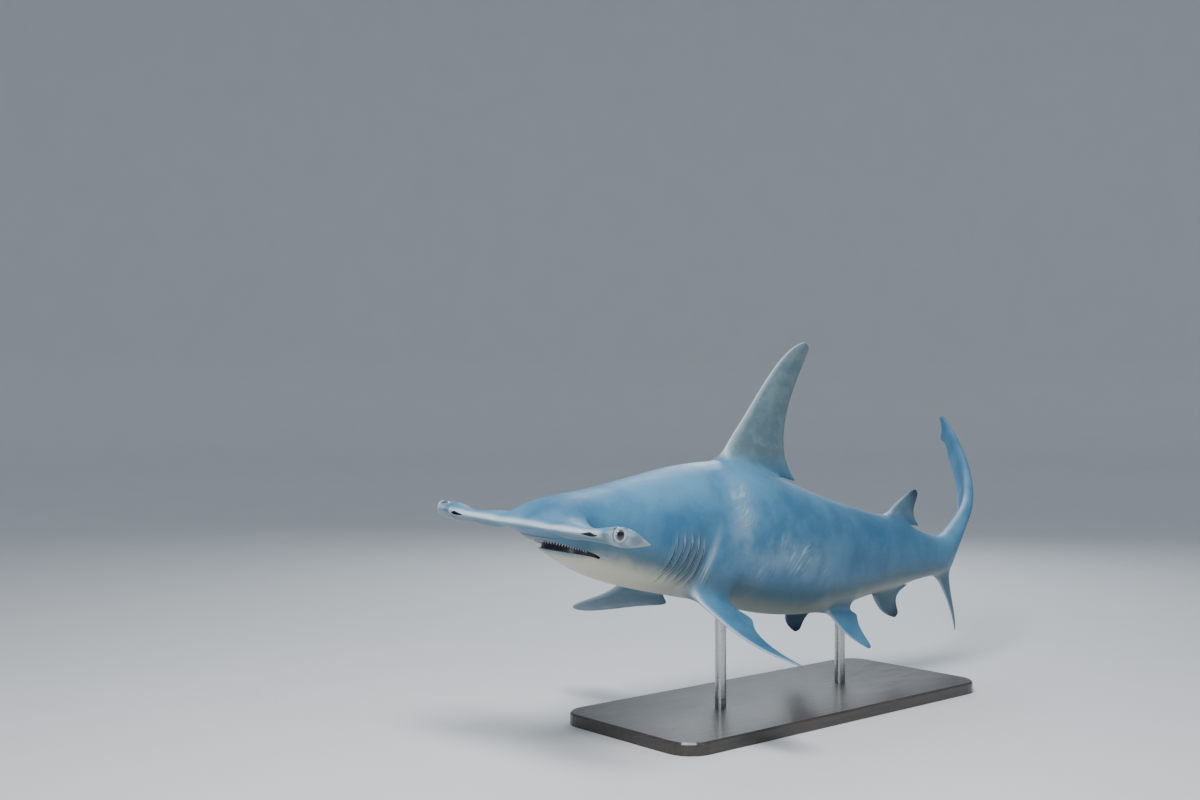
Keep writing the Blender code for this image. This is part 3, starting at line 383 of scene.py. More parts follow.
def frames_at(s):
    """Spine points and the forward, left and up directions at stations s, in the world."""
    stations, turn, climb, place = SPINE
    a, c = np.interp(s, stations, turn), np.interp(s, stations, climb)
    point = np.stack([np.interp(s, stations, place[:, k]) for k in range(3)], axis=-1)
    forward = np.stack([np.cos(a) * np.cos(c), np.sin(a) * np.cos(c), np.sin(c)], axis=-1)
    left = np.stack([-np.sin(a), np.cos(a), np.zeros_like(a)], axis=-1)
    up = np.cross(forward, left)
    return point @ LEVEL.T + SPINE_PLACE, forward @ LEVEL.T, left @ LEVEL.T, up @ LEVEL.T


def bend_all(points):
    """World places of points drawn on the straight animal."""
    points = np.asarray(points, float)
    origin, _, left, up = frames_at(points[:, 0])
    return origin + left * points[:, 1:2] + up * points[:, 2:3]


def profile_at(s):
    """Back height, belly depth and half width of the body at station s."""
    table = np.array(BODY_PROFILE)
    return [float(np.interp(s, table[:, 0], table[:, k])) for k in (1, 2, 3)]


def mirrored_ring(left):
    """Closes a ring from its left half, whose first and last points lie on the midline."""
    ring = [(left[0][0], 0.0, left[0][2])] + left[1:-1] + [(left[-1][0], 0.0, left[-1][2])]
    return ring + [(s, -y, z) for s, y, z in reversed(left[1:-1])]


def body_ring(s, back, belly, half):
    """Ring round the body, from the back's midline down the left side and up the right."""
    left = []
    for j in range(RING_HALF + 1):
        angle = math.pi / 2 - j * math.pi / RING_HALF
        across = abs(math.cos(angle)) ** (2 / SECTION_POWER)
        rise = math.copysign(abs(math.sin(angle)) ** (2 / SECTION_POWER), math.sin(angle))
        height = back if rise > 0 else belly
        left.append((s, half * across * SMOOTHING_SWELL, height * rise * SMOOTHING_SWELL))
    return mirrored_ring(left)


def lobe_ring(upper_s, upper_z, lower_s, lower_z, half, trail, blend):
    """Ring round the tail's upper lobe; blend 0 is as round as the stalk, 1 is a thin blade."""
    left = []
    for j in range(RING_HALF + 1):
        angle = math.pi / 2 - j * math.pi / RING_HALF
        round_share = 0.5 - 0.5 * math.sin(angle)
        share = round_share + (LOBE_CHORD[j] - round_share) * blend
        flesh = math.cos(angle) + (LOBE_FLESH[j] - math.cos(angle)) * blend
        s = upper_s + share * (lower_s - upper_s)
        z = upper_z + share * (lower_z - upper_z)
        left.append((s, half * flesh, z))
    ring = mirrored_ring(left)
    shares = [min(k, RING - k) / RING_HALF for k in range(RING)]
    return [(s, y - trail * share ** 2, z) for (s, y, z), share in zip(ring, shares)]


def blade_profile(share):
    """Half thickness of a fin's section along its chord, 1 at the thickest place."""
    if share < THICKEST_SHARE:
        return math.sqrt(share / THICKEST_SHARE)
    past = (share - THICKEST_SHARE) / (1.0 - THICKEST_SHARE)
    return max(1.0 - past ** THINNING_POWER, THINNEST_SHARE)


def fin_ring(row, place, count):
    """Ring round a fin: its left or upper side to the rear edge, then the other side forward."""
    front_a, rear_a, front_h, rear_h, half = row[:5]
    first, last = CHORD_SHARES
    shares = [first + (last - first) * k / (count - 1) for k in range(count)]

    def at(share, side):
        a = front_a + share * (rear_a - front_a)
        h = front_h + share * (rear_h - front_h)
        thick = half * blade_profile(share) if side else 0.0
        return place(a, h, side * thick)

    ring = [at(share, 1) for share in shares] + [at(1.0 + EDGE_REACH, 0)]
    return ring + [at(share, -1) for share in reversed(shares)] + [at(-EDGE_REACH, 0)]


def tip_row(row):
    """A shorter row just past a fin's last one, which rounds off its tip."""
    front_a, rear_a, front_h, rear_h, half = row
    left, past = TIP_ROUNDING
    chord, fall = rear_a - front_a, rear_h - front_h
    inset = (1.0 - left) / 2
    out = past * chord
    return (front_a + inset * chord, rear_a - inset * chord, front_h + inset * fall + out,
            rear_h - inset * fall + out, left * half)


def upright(a, h, t):
    return (a, t, h)


def hanging(a, h, t):
    return (a, t, -h)


def paired(root, droop, curl, pitch, reach, sweep, side):
    """Places a paired fin: its slope goes from droop to droop plus curl, and sweep lays it back."""

    def place(a, h, t):
        share = h / reach
        slope = droop + curl * share
        mean = droop + curl * share / 2
        y = root[1] + h * math.cos(mean) + t * math.sin(slope)
        z = root[2] - h * math.sin(mean) + t * math.cos(slope) - pitch * (a - root[0])
        return (a + sweep * h, side * y, z)

    return place


def wing(row, side):
    """Places a row of the hammer's wing, which reaches out sideways and sinks to its rear."""
    front_s, rear_s, front_z, rear_z = row[0], row[1], row[5], row[6]

    def place(a, h, t):
        share = (a - front_s) / (rear_s - front_s)
        return (a, side * h, front_z + share * (rear_z - front_z) + t)

    return place


def root_of(name):
    """First and last ring of a fin's root, its middle row and the row of its first side."""
    first, last, middle, one_side = ROOTS[name]
    stations = [row[0] for row in BODY_PROFILE + UPPER_LOBE]
    return stations.index(first), stations.index(last), middle, one_side


def fin_rings():
    """Rings of every fin by name, each from the root out."""
    fins = {}
    for name, rows, place in (
        ("first_dorsal", FIRST_DORSAL, upright),
        ("second_dorsal", SECOND_DORSAL, upright),
        ("anal", ANAL_FIN, hanging),
        ("lower_lobe", LOWER_LOBE, hanging),
    ):
        fins[name] = (rows, [place] * len(rows))
    for prefix, side in (("left", 1), ("right", -1)):
        place = paired(PECTORAL_ROOT, PECTORAL_DROOP[prefix], PECTORAL_CURL[prefix],
                       PECTORAL_PITCH[prefix], PECTORAL_REACH, PECTORAL_SWEEP[prefix], side)
        fins[prefix + "_pectoral"] = (PECTORAL, [place] * len(PECTORAL))
        place = paired(PELVIC_ROOT, PELVIC_DROOP, PELVIC_CURL, PELVIC_PITCH, PELVIC_REACH,
                       PELVIC_SWEEP[prefix], side)
        fins[prefix + "_pelvic"] = (PELVIC, [place] * len(PELVIC))
        fins[prefix + "_wing"] = (HAMMER, [wing(row, side) for row in HAMMER])
    rings = {}
    for name, (rows, places) in fins.items():
        first, last = root_of(name)[:2]
        count = last - first + 1
        if not name.endswith("wing"):
            rows, places = rows + [tip_row(rows[-1])], places + places[-1:]
        rings[name] = [fin_ring(row, place, count) for row, place in zip(rows, places)]
    return rings


def body_rings():
    rings = [body_ring(*row) for row in BODY_PROFILE]
    for k, row in enumerate(UPPER_LOBE):
        rings.append(lobe_ring(*row, blend=min(1.0, (k + 1) / LOBE_BLEND_RINGS)))
    for k, drop in enumerate(NOSE_DROP):
        rings[k] = [(s, y, z - drop) for s, y, z in rings[k]]
    edge = len(FRONT_EDGE) - 1
    for j in (edge, RING - edge):
        rings[0][j] = (FRONT_EDGE[edge][0], rings[0][j][1], FRONT_EDGE[edge][1])
    return rings


def cap_quads(low, high):
    """Strips between two facing rows of points that start and end on shared points."""
    faces = [(low[0], low[1], high[1])]
    for k in range(1, len(low) - 2):
        faces.append((low[k], low[k + 1], high[k + 1], high[k]))
    faces.append((low[-2], low[-1], high[-2]))
    return faces


def build_cage():
    """Control points, faces and marks of the whole straight animal, one closed surface.

    The marks of a point say whether it lies on a fin, how near its front edge and its rear
    edge, and how dusky it is: four numbers from 0 to 1.
    """
    points, faces, marks = [], [], []

    def add(ring, ring_marks=None):
        points.extend(ring)
        marks.extend(ring_marks or [(0.0,) * len(MARKS)] * len(ring))
        return list(range(len(points) - len(ring), len(points)))

    rows = [add(ring) for ring in body_rings()]
    open_faces = set()
    for name in ROOTS:
        first, last, middle, _ = root_of(name)
        for i in range(first, last):
            open_faces.update({(i, middle), (i, (middle - 1) % RING)})
    for i in range(len(rows) - 1):
        for j in range(RING):
            if (i, j) not in open_faces:
                n = (j + 1) % RING
                faces.append((rows[i][j], rows[i][n], rows[i + 1][n], rows[i + 1][j]))
    tail = rows[-1]
    faces += cap_quads(tail[: RING_HALF + 1], [tail[0]] + tail[:RING_HALF - 1:-1])

    nose = rows[0]
    middle_y = [points[nose[j]][1] for j in range(len(FRONT_EDGE))]
    rim = (0.0, 1.0, 0.0, 0.0)
    edge = [(s, y, z) for (s, z), y in zip(FRONT_EDGE[:-1], middle_y)]
    edge = add(edge, [rim] * len(edge))
    far_edge = [(s, -y, z) for (s, z), y in zip(FRONT_EDGE[1:-1], middle_y[1:])]
    far_edge = add(far_edge, [rim] * len(far_edge))
    reach = len(FRONT_EDGE) - 1
    marks[nose[reach]] = marks[nose[-reach]] = rim
    upper = [nose[-j] for j in range(reach, 0, -1)] + nose[: reach + 1]
    lower = [nose[RING_HALF + j] for j in range(reach, 0, -1)] + nose[RING_HALF : reach - 1 : -1]
    front = [nose[-reach]] + far_edge[::-1] + edge + [nose[reach]]
    faces += cap_quads(upper, front) + cap_quads(front, lower)

    for name, rings in fin_rings().items():
        first, last, middle, one_side = root_of(name)
        other_side = (2 * middle - one_side) % RING
        loop = [rows[i][one_side] for i in range(first, last + 1)] + [rows[last][middle]]
        loop += [rows[i][other_side] for i in range(last, first - 1, -1)] + [rows[first][middle]]
        for level, ring in enumerate(rings):
            out = (level + 1) / len(rings)
            fin = 0.0 if name.endswith("wing") else 1.0
            dusk = TIP_DUSK.get(name, 0.0) * out ** 2
            ring_marks = [(fin, 0.0, 0.0, dusk)] * len(ring)
            ring_marks[-1] = (fin, 1.0, 0.0, dusk)
            ring_marks[last - first + 1] = (fin, 0.0, 1.0, dusk)
            outer = add(ring, ring_marks)
            for k in range(len(loop)):
                n = (k + 1) % len(loop)
                faces.append((loop[k], loop[n], outer[n], outer[k]))
            loop = outer
        count = last - first + 1
        near = [loop[-1]] + loop[: count + 1]
        far = [loop[-1]] + loop[-2 : count - 1 : -1]
        faces += cap_quads(near, far)
    return points, faces, marks


def mesh_object(name, points, faces, material=None):
    """A mesh object with its normals facing out."""
    mesh = bpy.data.meshes.new(name)
    mesh.from_pydata([tuple(p) for p in points], [], faces)
    bm = bmesh.new()
    bm.from_mesh(mesh)
    bmesh.ops.recalc_face_normals(bm, faces=bm.faces)
    bm.to_mesh(mesh)
    bm.free()
    if material:
        mesh.materials.append(material)
    obj = bpy.data.objects.new(name, mesh)
    bpy.context.scene.collection.objects.link(obj)
    return obj


def apply_modifiers(obj):
    bpy.context.view_layer.update()
    evaluated = obj.evaluated_get(bpy.context.evaluated_depsgraph_get())
    mesh = bpy.data.meshes.new_from_object(evaluated)
    obj.modifiers.clear()
    old = obj.data
    obj.data = mesh
    bpy.data.meshes.remove(old)
    return obj


def places(obj):
    """The object's vertex places as an array."""
    co = np.empty(len(obj.data.vertices) * 3)
    obj.data.vertices.foreach_get("co", co)
    return co.reshape(-1, 3)


def set_places(obj, co):
    obj.data.vertices.foreach_set("co", co.astype(np.float32).ravel())
    obj.data.update()


def normals(obj):
    values = np.empty(len(obj.data.vertices) * 3)
    obj.data.vertices.foreach_get("normal", values)
    return values.reshape(-1, 3)


def write_mark(obj, name, values):
    """Stores one number, or one vector, for each vertex."""
    kind = "FLOAT_VECTOR" if values.ndim == 2 else "FLOAT"
    field = "vector" if values.ndim == 2 else "value"
    layer = obj.data.attributes.get(name) or obj.data.attributes.new(name, kind, "POINT")
    layer.data.foreach_set(field, values.astype(np.float32).ravel())


def read_mark(obj, name):
    layer = obj.data.attributes[name]
    values = np.empty(len(layer.data))
    layer.data.foreach_get("value", values)
    return values


def smooth_step(low, high, x):
    t = np.clip((x - low) / (high - low), 0.0, 1.0)
    return t * t * (3.0 - 2.0 * t)


def mouth_place(angle, inset=0.0):
    """Point and outward direction on the mouth's path, by angle from its front round to a side."""
    forward, rise = (math.cos(angle) ** power for power in MOUTH_ROUNDING)
    s = MOUTH_CORNER[0] - (MOUTH_CORNER[0] - MOUTH_FRONT[0]) * forward
    y = MOUTH_CORNER[1] * math.sin(angle)
    z = MOUTH_CORNER[2] + (MOUTH_FRONT[1] - MOUTH_CORNER[2]) * rise
    out_s, out_y = -math.cos(angle), math.sin(angle)
    return (s - out_s * inset, y - out_y * inset, z), (out_s, out_y)


def inset_at(ends, angle):
    """How far inside the mouth's path something lies, from its insets in front and aside."""
    front, aside = ends
    return aside + (front - aside) * math.cos(angle) ** MOUTH_IN_POWER


def mouth_opening(angle):
    wide, narrow = MOUTH_OPENING
    return narrow + (wide - narrow) * math.cos(angle) ** MOUTH_GAPE


def bridge(sections):
    """Points and faces of a closed strip of four-cornered sections."""
    points = [corner for section in sections for corner in section]
    faces = [(0, 1, 2, 3), tuple(range(len(points) - 4, len(points)))]
    for i in range(len(sections) - 1):
        for k in range(4):
            n = (k + 1) % 4
            faces.append((4 * i + k, 4 * i + n, 4 * i + 4 + n, 4 * i + 4 + k))
    return points, faces


def mouth_slot(material):
    """The open mouth as one bent block, from one corner round the front to the other."""
    sections = []
    for k in range(MOUTH_STEPS + 1):
        angle = MOUTH_SWEEP * (2.0 * k / MOUTH_STEPS - 1.0)
        (s, y, z), (out_s, out_y) = mouth_place(angle)
        half = mouth_opening(angle) / 2
        back = MOUTH_BACK_SHARE * half
        inward = inset_at(MOUTH_IN, angle)
        sections.append([
            (s + out_s * reach, y + out_y * reach, z + rise)
            for reach, rise in ((-inward, -back), (MOUTH_OUT, -half), (MOUTH_OUT, half),
                                (-inward, back))
        ])
    return mesh_object("mouth_slot", *bridge(sections), material)


def gill_centre(top, share):
    """Station and height on a gill slit, by share of the way down it."""
    return top[0] - GILL_FORWARD * share ** GILL_LEAN_POWER, top[1] - GILL_LENGTH * share


def flank_point(s, z):
    """Half width of the body at a height, and the outward direction of its skin there."""
    back, belly, half = profile_at(s)
    height = back if z > 0 else belly
    rise = abs(z) / height
    y = half * (1.0 - rise ** SECTION_POWER) ** (1 / SECTION_POWER)
    out_y = (y / half) ** (SECTION_POWER - 1) / half
    out_z = math.copysign(rise ** (SECTION_POWER - 1), z) / height
    length = math.hypot(out_y, out_z)
    return y, out_y / length, out_z / length


def gill_slot(name, top, side, material):
    """One gill slit: a narrow slot down the flank, cut forward under the flap in front of it."""
    sections = []
    for k in range(GILL_STEPS + 1):
        share = k / GILL_STEPS
        s, z = gill_centre(top, share)
        y, out_y, out_z = flank_point(s, z)
        width, depth = (size * (end + (1.0 - end) * math.sin(math.pi * share))
                        for size, end in zip((GILL_WIDTH, GILL_DEPTH), GILL_END_SHARE))
        sections.append([
            (s + shift, side * (y + out_y * reach), z + out_z * reach)
            for reach, shift in ((GILL_OUT, -width), (GILL_OUT, width),
                                 (-depth, width - GILL_UNDERCUT),
                                 (-depth, -width - GILL_UNDERCUT))
        ])
    return mesh_object(name, *bridge(sections), material)


def smooth_path(points, values, steps):
    """Rounded path through points with a value at each, by smooth steps between them."""
    table = np.array([tuple(p) + (v,) for p, v in zip(points, values)])
    knots = np.arange(len(table))
    fine = np.linspace(0, len(table) - 1, (len(table) - 1) * steps + 1)
    low = np.minimum(fine.astype(int), len(table) - 2)
    t = fine - knots[low]
    before, after = np.maximum(low - 1, 0), np.minimum(low + 2, len(table) - 1)
    p0, p1, p2, p3 = table[before], table[low], table[low + 1], table[after]
    t = t[:, None]
    rounded = 0.5 * (2 * p1 + (p2 - p0) * t + (2 * p0 - 5 * p1 + 4 * p2 - p3) * t ** 2
                     + (3 * p1 - p0 - 3 * p2 + p3) * t ** 3)
    return rounded[:, :3], rounded[:, 3]


def groove(name, path, radii, material):
    """A round cutter with pointed ends along a path that runs sideways on the straight animal."""
    path, radii = smooth_path(path, radii, GROOVE_REFINE)
    (s, y, z), (last_s, last_y, last_z) = path[0], path[-1]
    points = [(s, y - math.copysign(radii[0], y), z)]
    for (s, y, z), radius in zip(path, radii):
        for k in range(GROOVE_SIDES):
            angle = 2 * math.pi * k / GROOVE_SIDES
            points.append((s + radius * math.cos(angle), y, z + radius * math.sin(angle)))
    points.append((last_s, last_y + math.copysign(radii[-1], last_y), last_z))
    end = len(points) - 1
    faces = []
    for k in range(GROOVE_SIDES):
        n = (k + 1) % GROOVE_SIDES
        faces.append((0, 1 + k, 1 + n))
        faces.append((end, end - GROOVE_SIDES + k, end - GROOVE_SIDES + n))
        for i in range(len(path) - 1):
            a = 1 + i * GROOVE_SIDES
            faces.append((a + k, a + n, a + GROOVE_SIDES + n, a + GROOVE_SIDES + k))
    return mesh_object(name, points, faces, material)


def eye_axes(side, forward, left, up):
    """Directions of an eye's own x, along which it looks, and its y and z."""
    outward = left * side
    look = outward * math.cos(EYE_TURN) + forward * math.sin(EYE_TURN)
    return np.stack([look, np.cross(up, look), up], axis=0)


def straight_axes(side):
    """The eye's place and axes on the straight animal."""
    centre = np.array([EYE_CENTRE[0], side * EYE_CENTRE[1], EYE_CENTRE[2]])
    axes = eye_axes(side, np.array([-1.0, 0, 0]), np.array([0, 1.0, 0]), np.array([0, 0, 1.0]))
    return centre, axes


def ball_points(radius):
    """Points and faces of a ball with its poles along x."""
    rings, segments = EYE_STEPS
    points = [(radius, 0.0, 0.0)]
    for i in range(1, rings):
        tilt = math.pi * i / rings
        for k in range(segments):
            angle = 2 * math.pi * k / segments
            spread = radius * math.sin(tilt)
            points.append((radius * math.cos(tilt), spread * math.cos(angle),
                           spread * math.sin(angle)))
    points.append((-radius, 0.0, 0.0))
    end = len(points) - 1
    faces = []
    for k in range(segments):
        n = (k + 1) % segments
        faces.append((0, 1 + k, 1 + n))
        faces.append((end, end - segments + k, end - segments + n))
        for i in range(rings - 2):
            a = 1 + i * segments
            faces.append((a + k, a + n, a + segments + n, a + segments + k))
    return np.array(points), faces


def socket(name, side, material):
    points, faces = ball_points(EYE_RADIUS)
    centre, axes = straight_axes(side)
    return mesh_object(name, centre + points @ axes, faces, material)


def lid_ring(name, side):
    """The raised rim of skin round an eye, on the straight animal."""
    around, sides = LID_STEPS
    centre, axes = straight_axes(side)
    points, faces = [], []
    for k in range(around):
        angle = 2 * math.pi * k / around
        for m in range(sides):
            bend = 2 * math.pi * m / sides
            spread = LID_RADIUS + LID_THICKNESS * math.cos(bend)
            points.append((LID_OUT + LID_THICKNESS * math.sin(bend),
                           spread * math.cos(angle), spread * math.sin(angle)))
    for k in range(around):
        for m in range(sides):
            a, b = k * sides, ((k + 1) % around) * sides
            n = (m + 1) % sides
            faces.append((a + m, a + n, b + n, b + m))
    return mesh_object(name, centre + np.array(points) @ axes, faces)


def joined(name, pieces):
    """One mesh object from several, keeping their materials."""
    with bpy.context.temp_override(active_object=pieces[0], selected_editable_objects=pieces):
        bpy.ops.object.join()
    pieces[0].name = name
    return pieces[0]


def combine(obj, tool, operation):
    modifier = obj.modifiers.new(operation.lower(), "BOOLEAN")
    modifier.operation = operation
    modifier.solver = "EXACT"
    modifier.material_mode = "TRANSFER"
    modifier.object = tool
    apply_modifiers(obj)
    bpy.data.objects.remove(tool)


def gill_lines(co):
    """Stations of the gill slits at each point's height, and how far it is within their height."""
    stations, inside = [], []
    for top in GILL_TOPS:
        share = np.clip((top[1] - co[:, 2]) / GILL_LENGTH, 0.0, 1.0)
        stations.append(top[0] - GILL_FORWARD * share ** GILL_LEAN_POWER)
        past = np.abs(co[:, 2] - top[1] + GILL_LENGTH / 2) - GILL_LENGTH / 2
        inside.append(np.exp(-(np.maximum(past, 0.0) / FLAP_FADE) ** 2))
    on_flank = smooth_step(0.06, 0.12, np.abs(co[:, 1])) * (co[:, 0] > 0.42) * (co[:, 0] < 0.75)
    return np.array(stations), np.array(inside) * on_flank


def gill_closeness(co, width):
    """How near each point is to a gill slit, ahead of it and behind it, each from 0 to 1."""
    stations, inside = gill_lines(co)
    offset = co[:, 0] - stations
    near = np.exp(-(offset / width) ** 2) * inside
    return (near * (offset < 0)).max(axis=0), (near * (offset >= 0)).max(axis=0)


def gill_flaps(co):
    """Height of the gill flaps: each rises towards its slit and ends in a step down."""
    stations, inside = gill_lines(co)
    ahead = stations - co[:, 0]
    rise = np.clip(1.0 - ahead / FLAP_SPAN, 0.0, 1.0) ** 2
    step = smooth_step(-FLAP_EDGE, FLAP_EDGE, ahead)
    return FLAP_RISE * (rise * step * inside).max(axis=0)


def root_folds(co):
    """Fine upright folds of the flank's skin over the root of each pectoral fin."""
    s, z, along, up = FOLD_PLACE
    height, spacing = FOLD_SIZE
    near = np.exp(-((co[:, 0] - s) / along) ** 2 - ((co[:, 2] - z) / up) ** 2)
    wave = np.sin(2 * math.pi * (co[:, 0] - FOLD_LEAN * (co[:, 2] - z)) / spacing)
    return height * wave * near * (np.abs(co[:, 1]) > 0.07)


def eye_mound(co):
    """Moves points round the eyes out along the eye's line of sight, to meet the lids."""
    moved = co.copy()
    sink, fall, softness = EYE_MOUND
    for side in (1, -1):
        centre, axes = straight_axes(side)
        local = (co - centre) @ axes.T
        away = np.hypot(local[:, 1], local[:, 2])
        wanted = LID_OUT - sink - fall * np.maximum(away - LID_RADIUS, 0.0) ** 2
        gap = (wanted - local[:, 0]) / softness
        lift = softness * np.logaddexp(0.0, np.clip(gap, -30, 30))
        near = (local[:, 0] > -0.02) & (away < EYE_MOUND_REACH)
        fade = smooth_step(EYE_MOUND_REACH, 0.7 * EYE_MOUND_REACH, away)
        moved += np.where(near, lift * fade, 0.0)[:, None] * axes[0]
    return moved


def mouth_closeness(co, width):
    """How near each point is to the lips, 1 on their edge."""
    angles = np.linspace(-MOUTH_SWEEP, MOUTH_SWEEP, 2 * MOUTH_STEPS + 1)
    path = np.array([mouth_place(a)[0] for a in angles])
    halves = np.array([mouth_opening(a) / 2 for a in angles])
    near = np.flatnonzero((co[:, 0] < 0.36) & (np.abs(co[:, 1]) < 0.16) & (co[:, 2] < 0.02))
    closeness = np.zeros(len(co))
    flat = co[near][:, None, :2] - path[None, :, :2]
    pick = np.argmin((flat ** 2).sum(axis=2), axis=1)
    gap = np.abs(np.abs(co[near, 2] - path[pick, 2]) - halves[pick])
    aside = np.sqrt((flat ** 2).sum(axis=2)).min(axis=1)
    closeness[near] = np.exp(-(gap / width) ** 2) * (aside < 0.05)
    return closeness


def refine(skin):
    """Gives the head's details and the gills a finer, evenly rounded mesh."""
    bm = bmesh.new()
    bm.from_mesh(skin.data)
    boxes = [(Vector(low), Vector(high)) for low, high in FINE_PLACES]

    def inside(v):
        return any(all(low[k] < v.co[k] < high[k] for k in range(3)) for low, high in boxes)

    chosen = {v for v in bm.verts if inside(v)}
    edges = [e for e in bm.edges if e.verts[0] in chosen and e.verts[1] in chosen]
    bmesh.ops.subdivide_edges(bm, edges=edges, cuts=FINE_CUTS, use_grid_fill=True)
    fine = [v for v in bm.verts if inside(v) and not v.is_boundary]
    for _ in range(FINE_SMOOTHINGS):
        bmesh.ops.smooth_vert(bm, verts=fine, factor=0.5, use_axis_x=True, use_axis_y=True,
                              use_axis_z=True)
    bm.to_mesh(skin.data)
    bm.free()


def sculpt(skin):
    """Raises the gill flaps, folds, lips, nostril flaps and the mounds round the eyes."""
    co, out = places(skin), normals(skin)
    lift = gill_flaps(co) + root_folds(co) + LIP_BULGE * mouth_closeness(co, LIP_WIDTH)
    inner, outer, height = NOSTRIL_FLAP
    across = np.abs(co[:, 1])
    flap = smooth_step(inner - 0.02, inner, across) * smooth_step(outer + 0.004, outer, across)
    flap *= np.exp(-((co[:, 0] - 0.002) / 0.012) ** 2) * np.exp(-((co[:, 2] - 0.004) / 0.010) ** 2)
    lift += height * flap
    set_places(skin, eye_mound(co + out * lift[:, None]))


def fill_marks(skin, known):
    """Gives points that the cuts made the marks of the nearest point of the uncut skin."""
    tree = KDTree(len(known["co"]))
    for k, point in enumerate(known["co"]):
        tree.insert(point, k)
    tree.balance()
    co = places(skin)
    fresh = np.flatnonzero(read_mark(skin, "kept") < 0.5)
    nearest = np.array([tree.find(co[k])[1] for k in fresh], int)
    for name in MARKS:
        values = read_mark(skin, name)
        values[fresh] = known[name][nearest]
        write_mark(skin, name, values)


def paint_marks(skin):
    """Writes where each kind of colour lies, for the skin's material."""
    co, out = places(skin), normals(skin)
    fin = read_mark(skin, "fin")
    s, across, height = co[:, 0], np.abs(co[:, 1]), co[:, 2]
    line = np.array(BELLY_LINE)
    tone = 0.5 + (np.interp(s, line[:, 0], line[:, 1]) - height) / (2 * BELLY_SOFTNESS)
    tone += 0.25 * np.clip(-out[:, 2], 0, 1) - 0.15 * np.clip(out[:, 2], 0, 1)
    # Undersides of the paired fins stay mid blue-grey instead of pale: painted shade under the fins
    blade = np.where(across > 0.06, 0.22 - 0.20 * out[:, 2], 0.08)
    far_back = smooth_step(1.70, 1.80, s)
    blade = blade * (1 - far_back) + np.where(height < 0, 0.42, 0.10) * far_back
    tone = tone * (1 - fin) + blade * fin
    # Undersides of the hammer's wings get a mid blue-grey instead of their real pale: painted shade
    # under the hammer
    wing_out = smooth_step(0.11, 0.17, across) * (s < 0.24)
    under = smooth_step(-0.25, 0.35, -out[:, 2])
    tone = tone * (1 - wing_out) + (0.05 + 0.42 * under) * wing_out
    write_mark(skin, "tone", np.clip(tone, -0.5, 1.5))

    lobe = smooth_step(0.300, 0.335, across) * (s < 0.24) * smooth_step(0.95, 0.40, out[:, 2])
    write_mark(skin, "lobe", lobe)
    corner = lobe * smooth_step(0.10, 0.17, s)
    write_mark(skin, "corner", corner)
    # Dark line under the rear edge of each hammer end: painted shadow
    edge = read_mark(skin, "trail") * smooth_step(0.26, 0.31, across) * (s < 0.24)
    write_mark(skin, "rear_edge_shadow", edge * smooth_step(0.1, -0.3, out[:, 2]))
    # Pale band along the fins' leading edges and the hammer's front edge: painted highlight
    rim = read_mark(skin, "lead")
    front_edge_highlight = smooth_step(0.034, 0.006, s) * np.exp(-((height + 0.001) / 0.010) ** 2)
    front_edge_highlight *= smooth_step(0.315, 0.295, across)
    write_mark(skin, "rim", np.clip(rim * fin * 0.85 + front_edge_highlight, 0, 1))
    station, reach, strength = VENT_PATCH
    cream = np.maximum(smooth_step(THROAT_END[1], THROAT_END[0], s),
                       strength * np.exp(-((s - station) / reach) ** 2))
    write_mark(skin, "throat", cream)
    patch = []
    for (at_s, at_z, along, up), lean in ((GILL_SHADE, 0.0), (SHOULDER, SHOULDER_LEAN)):
        off = s - at_s - lean * (height - at_z)
        patch.append(np.exp(-(off / along) ** 2 - ((height - at_z) / up) ** 2) * (1 - fin))
    write_mark(skin, "gill_shade", patch[0])
    write_mark(skin, "shoulder", patch[1])
    # Pale band just ahead of each gill slit: painted highlight on the raised flap edge
    ahead, _ = gill_closeness(co, 0.0065)
    write_mark(skin, "flap", ahead)
    # Dark band just behind each gill slit: painted shade in its groove
    _, behind = gill_closeness(co, 0.0130)
    write_mark(skin, "gill", behind)
    wide = np.maximum(*gill_closeness(co, 0.040))
    root = np.exp(-((s - 0.66) / 0.07) ** 2 - ((height + 0.13) / 0.05) ** 2) * (1 - fin)
    write_mark(skin, "wrinkle", np.maximum(wide, root))
    back_fin = fin * np.where(s < 1.4, smooth_step(0.235, 0.33, height),
                              0.6 * smooth_step(0.12, 0.17, height) * (s < 2.05))
    write_mark(skin, "grey", back_fin)
    scar = np.zeros(len(co))
    for at_s, at_z, along, up in SCRATCHES:
        scar += np.exp(-((s - at_s) / along) ** 2 - ((height - at_z) / up) ** 2)
    write_mark(skin, "scar", np.clip(scar, 0, 1) * (1 - fin))
    lids, whites = np.zeros(len(co)), np.zeros(len(co))
    for side in (1, -1):
        centre, axes = straight_axes(side)
        local = (co - centre) @ axes.T
        away = np.hypot(local[:, 1], local[:, 2])
        off = np.hypot(away - LID_RADIUS, local[:, 0] - LID_OUT)
        near = smooth_step(LID_THICKNESS * 1.45, LID_THICKNESS * 1.05, off)
        lids = np.maximum(lids, near)
        inside = smooth_step(LID_RADIUS + 0.0005, LID_RADIUS - 0.0010, away)
        whites = np.maximum(whites, near * inside)
    write_mark(skin, "lid", lids)
    write_mark(skin, "lid_white", whites)
    write_mark(skin, "straight", co)


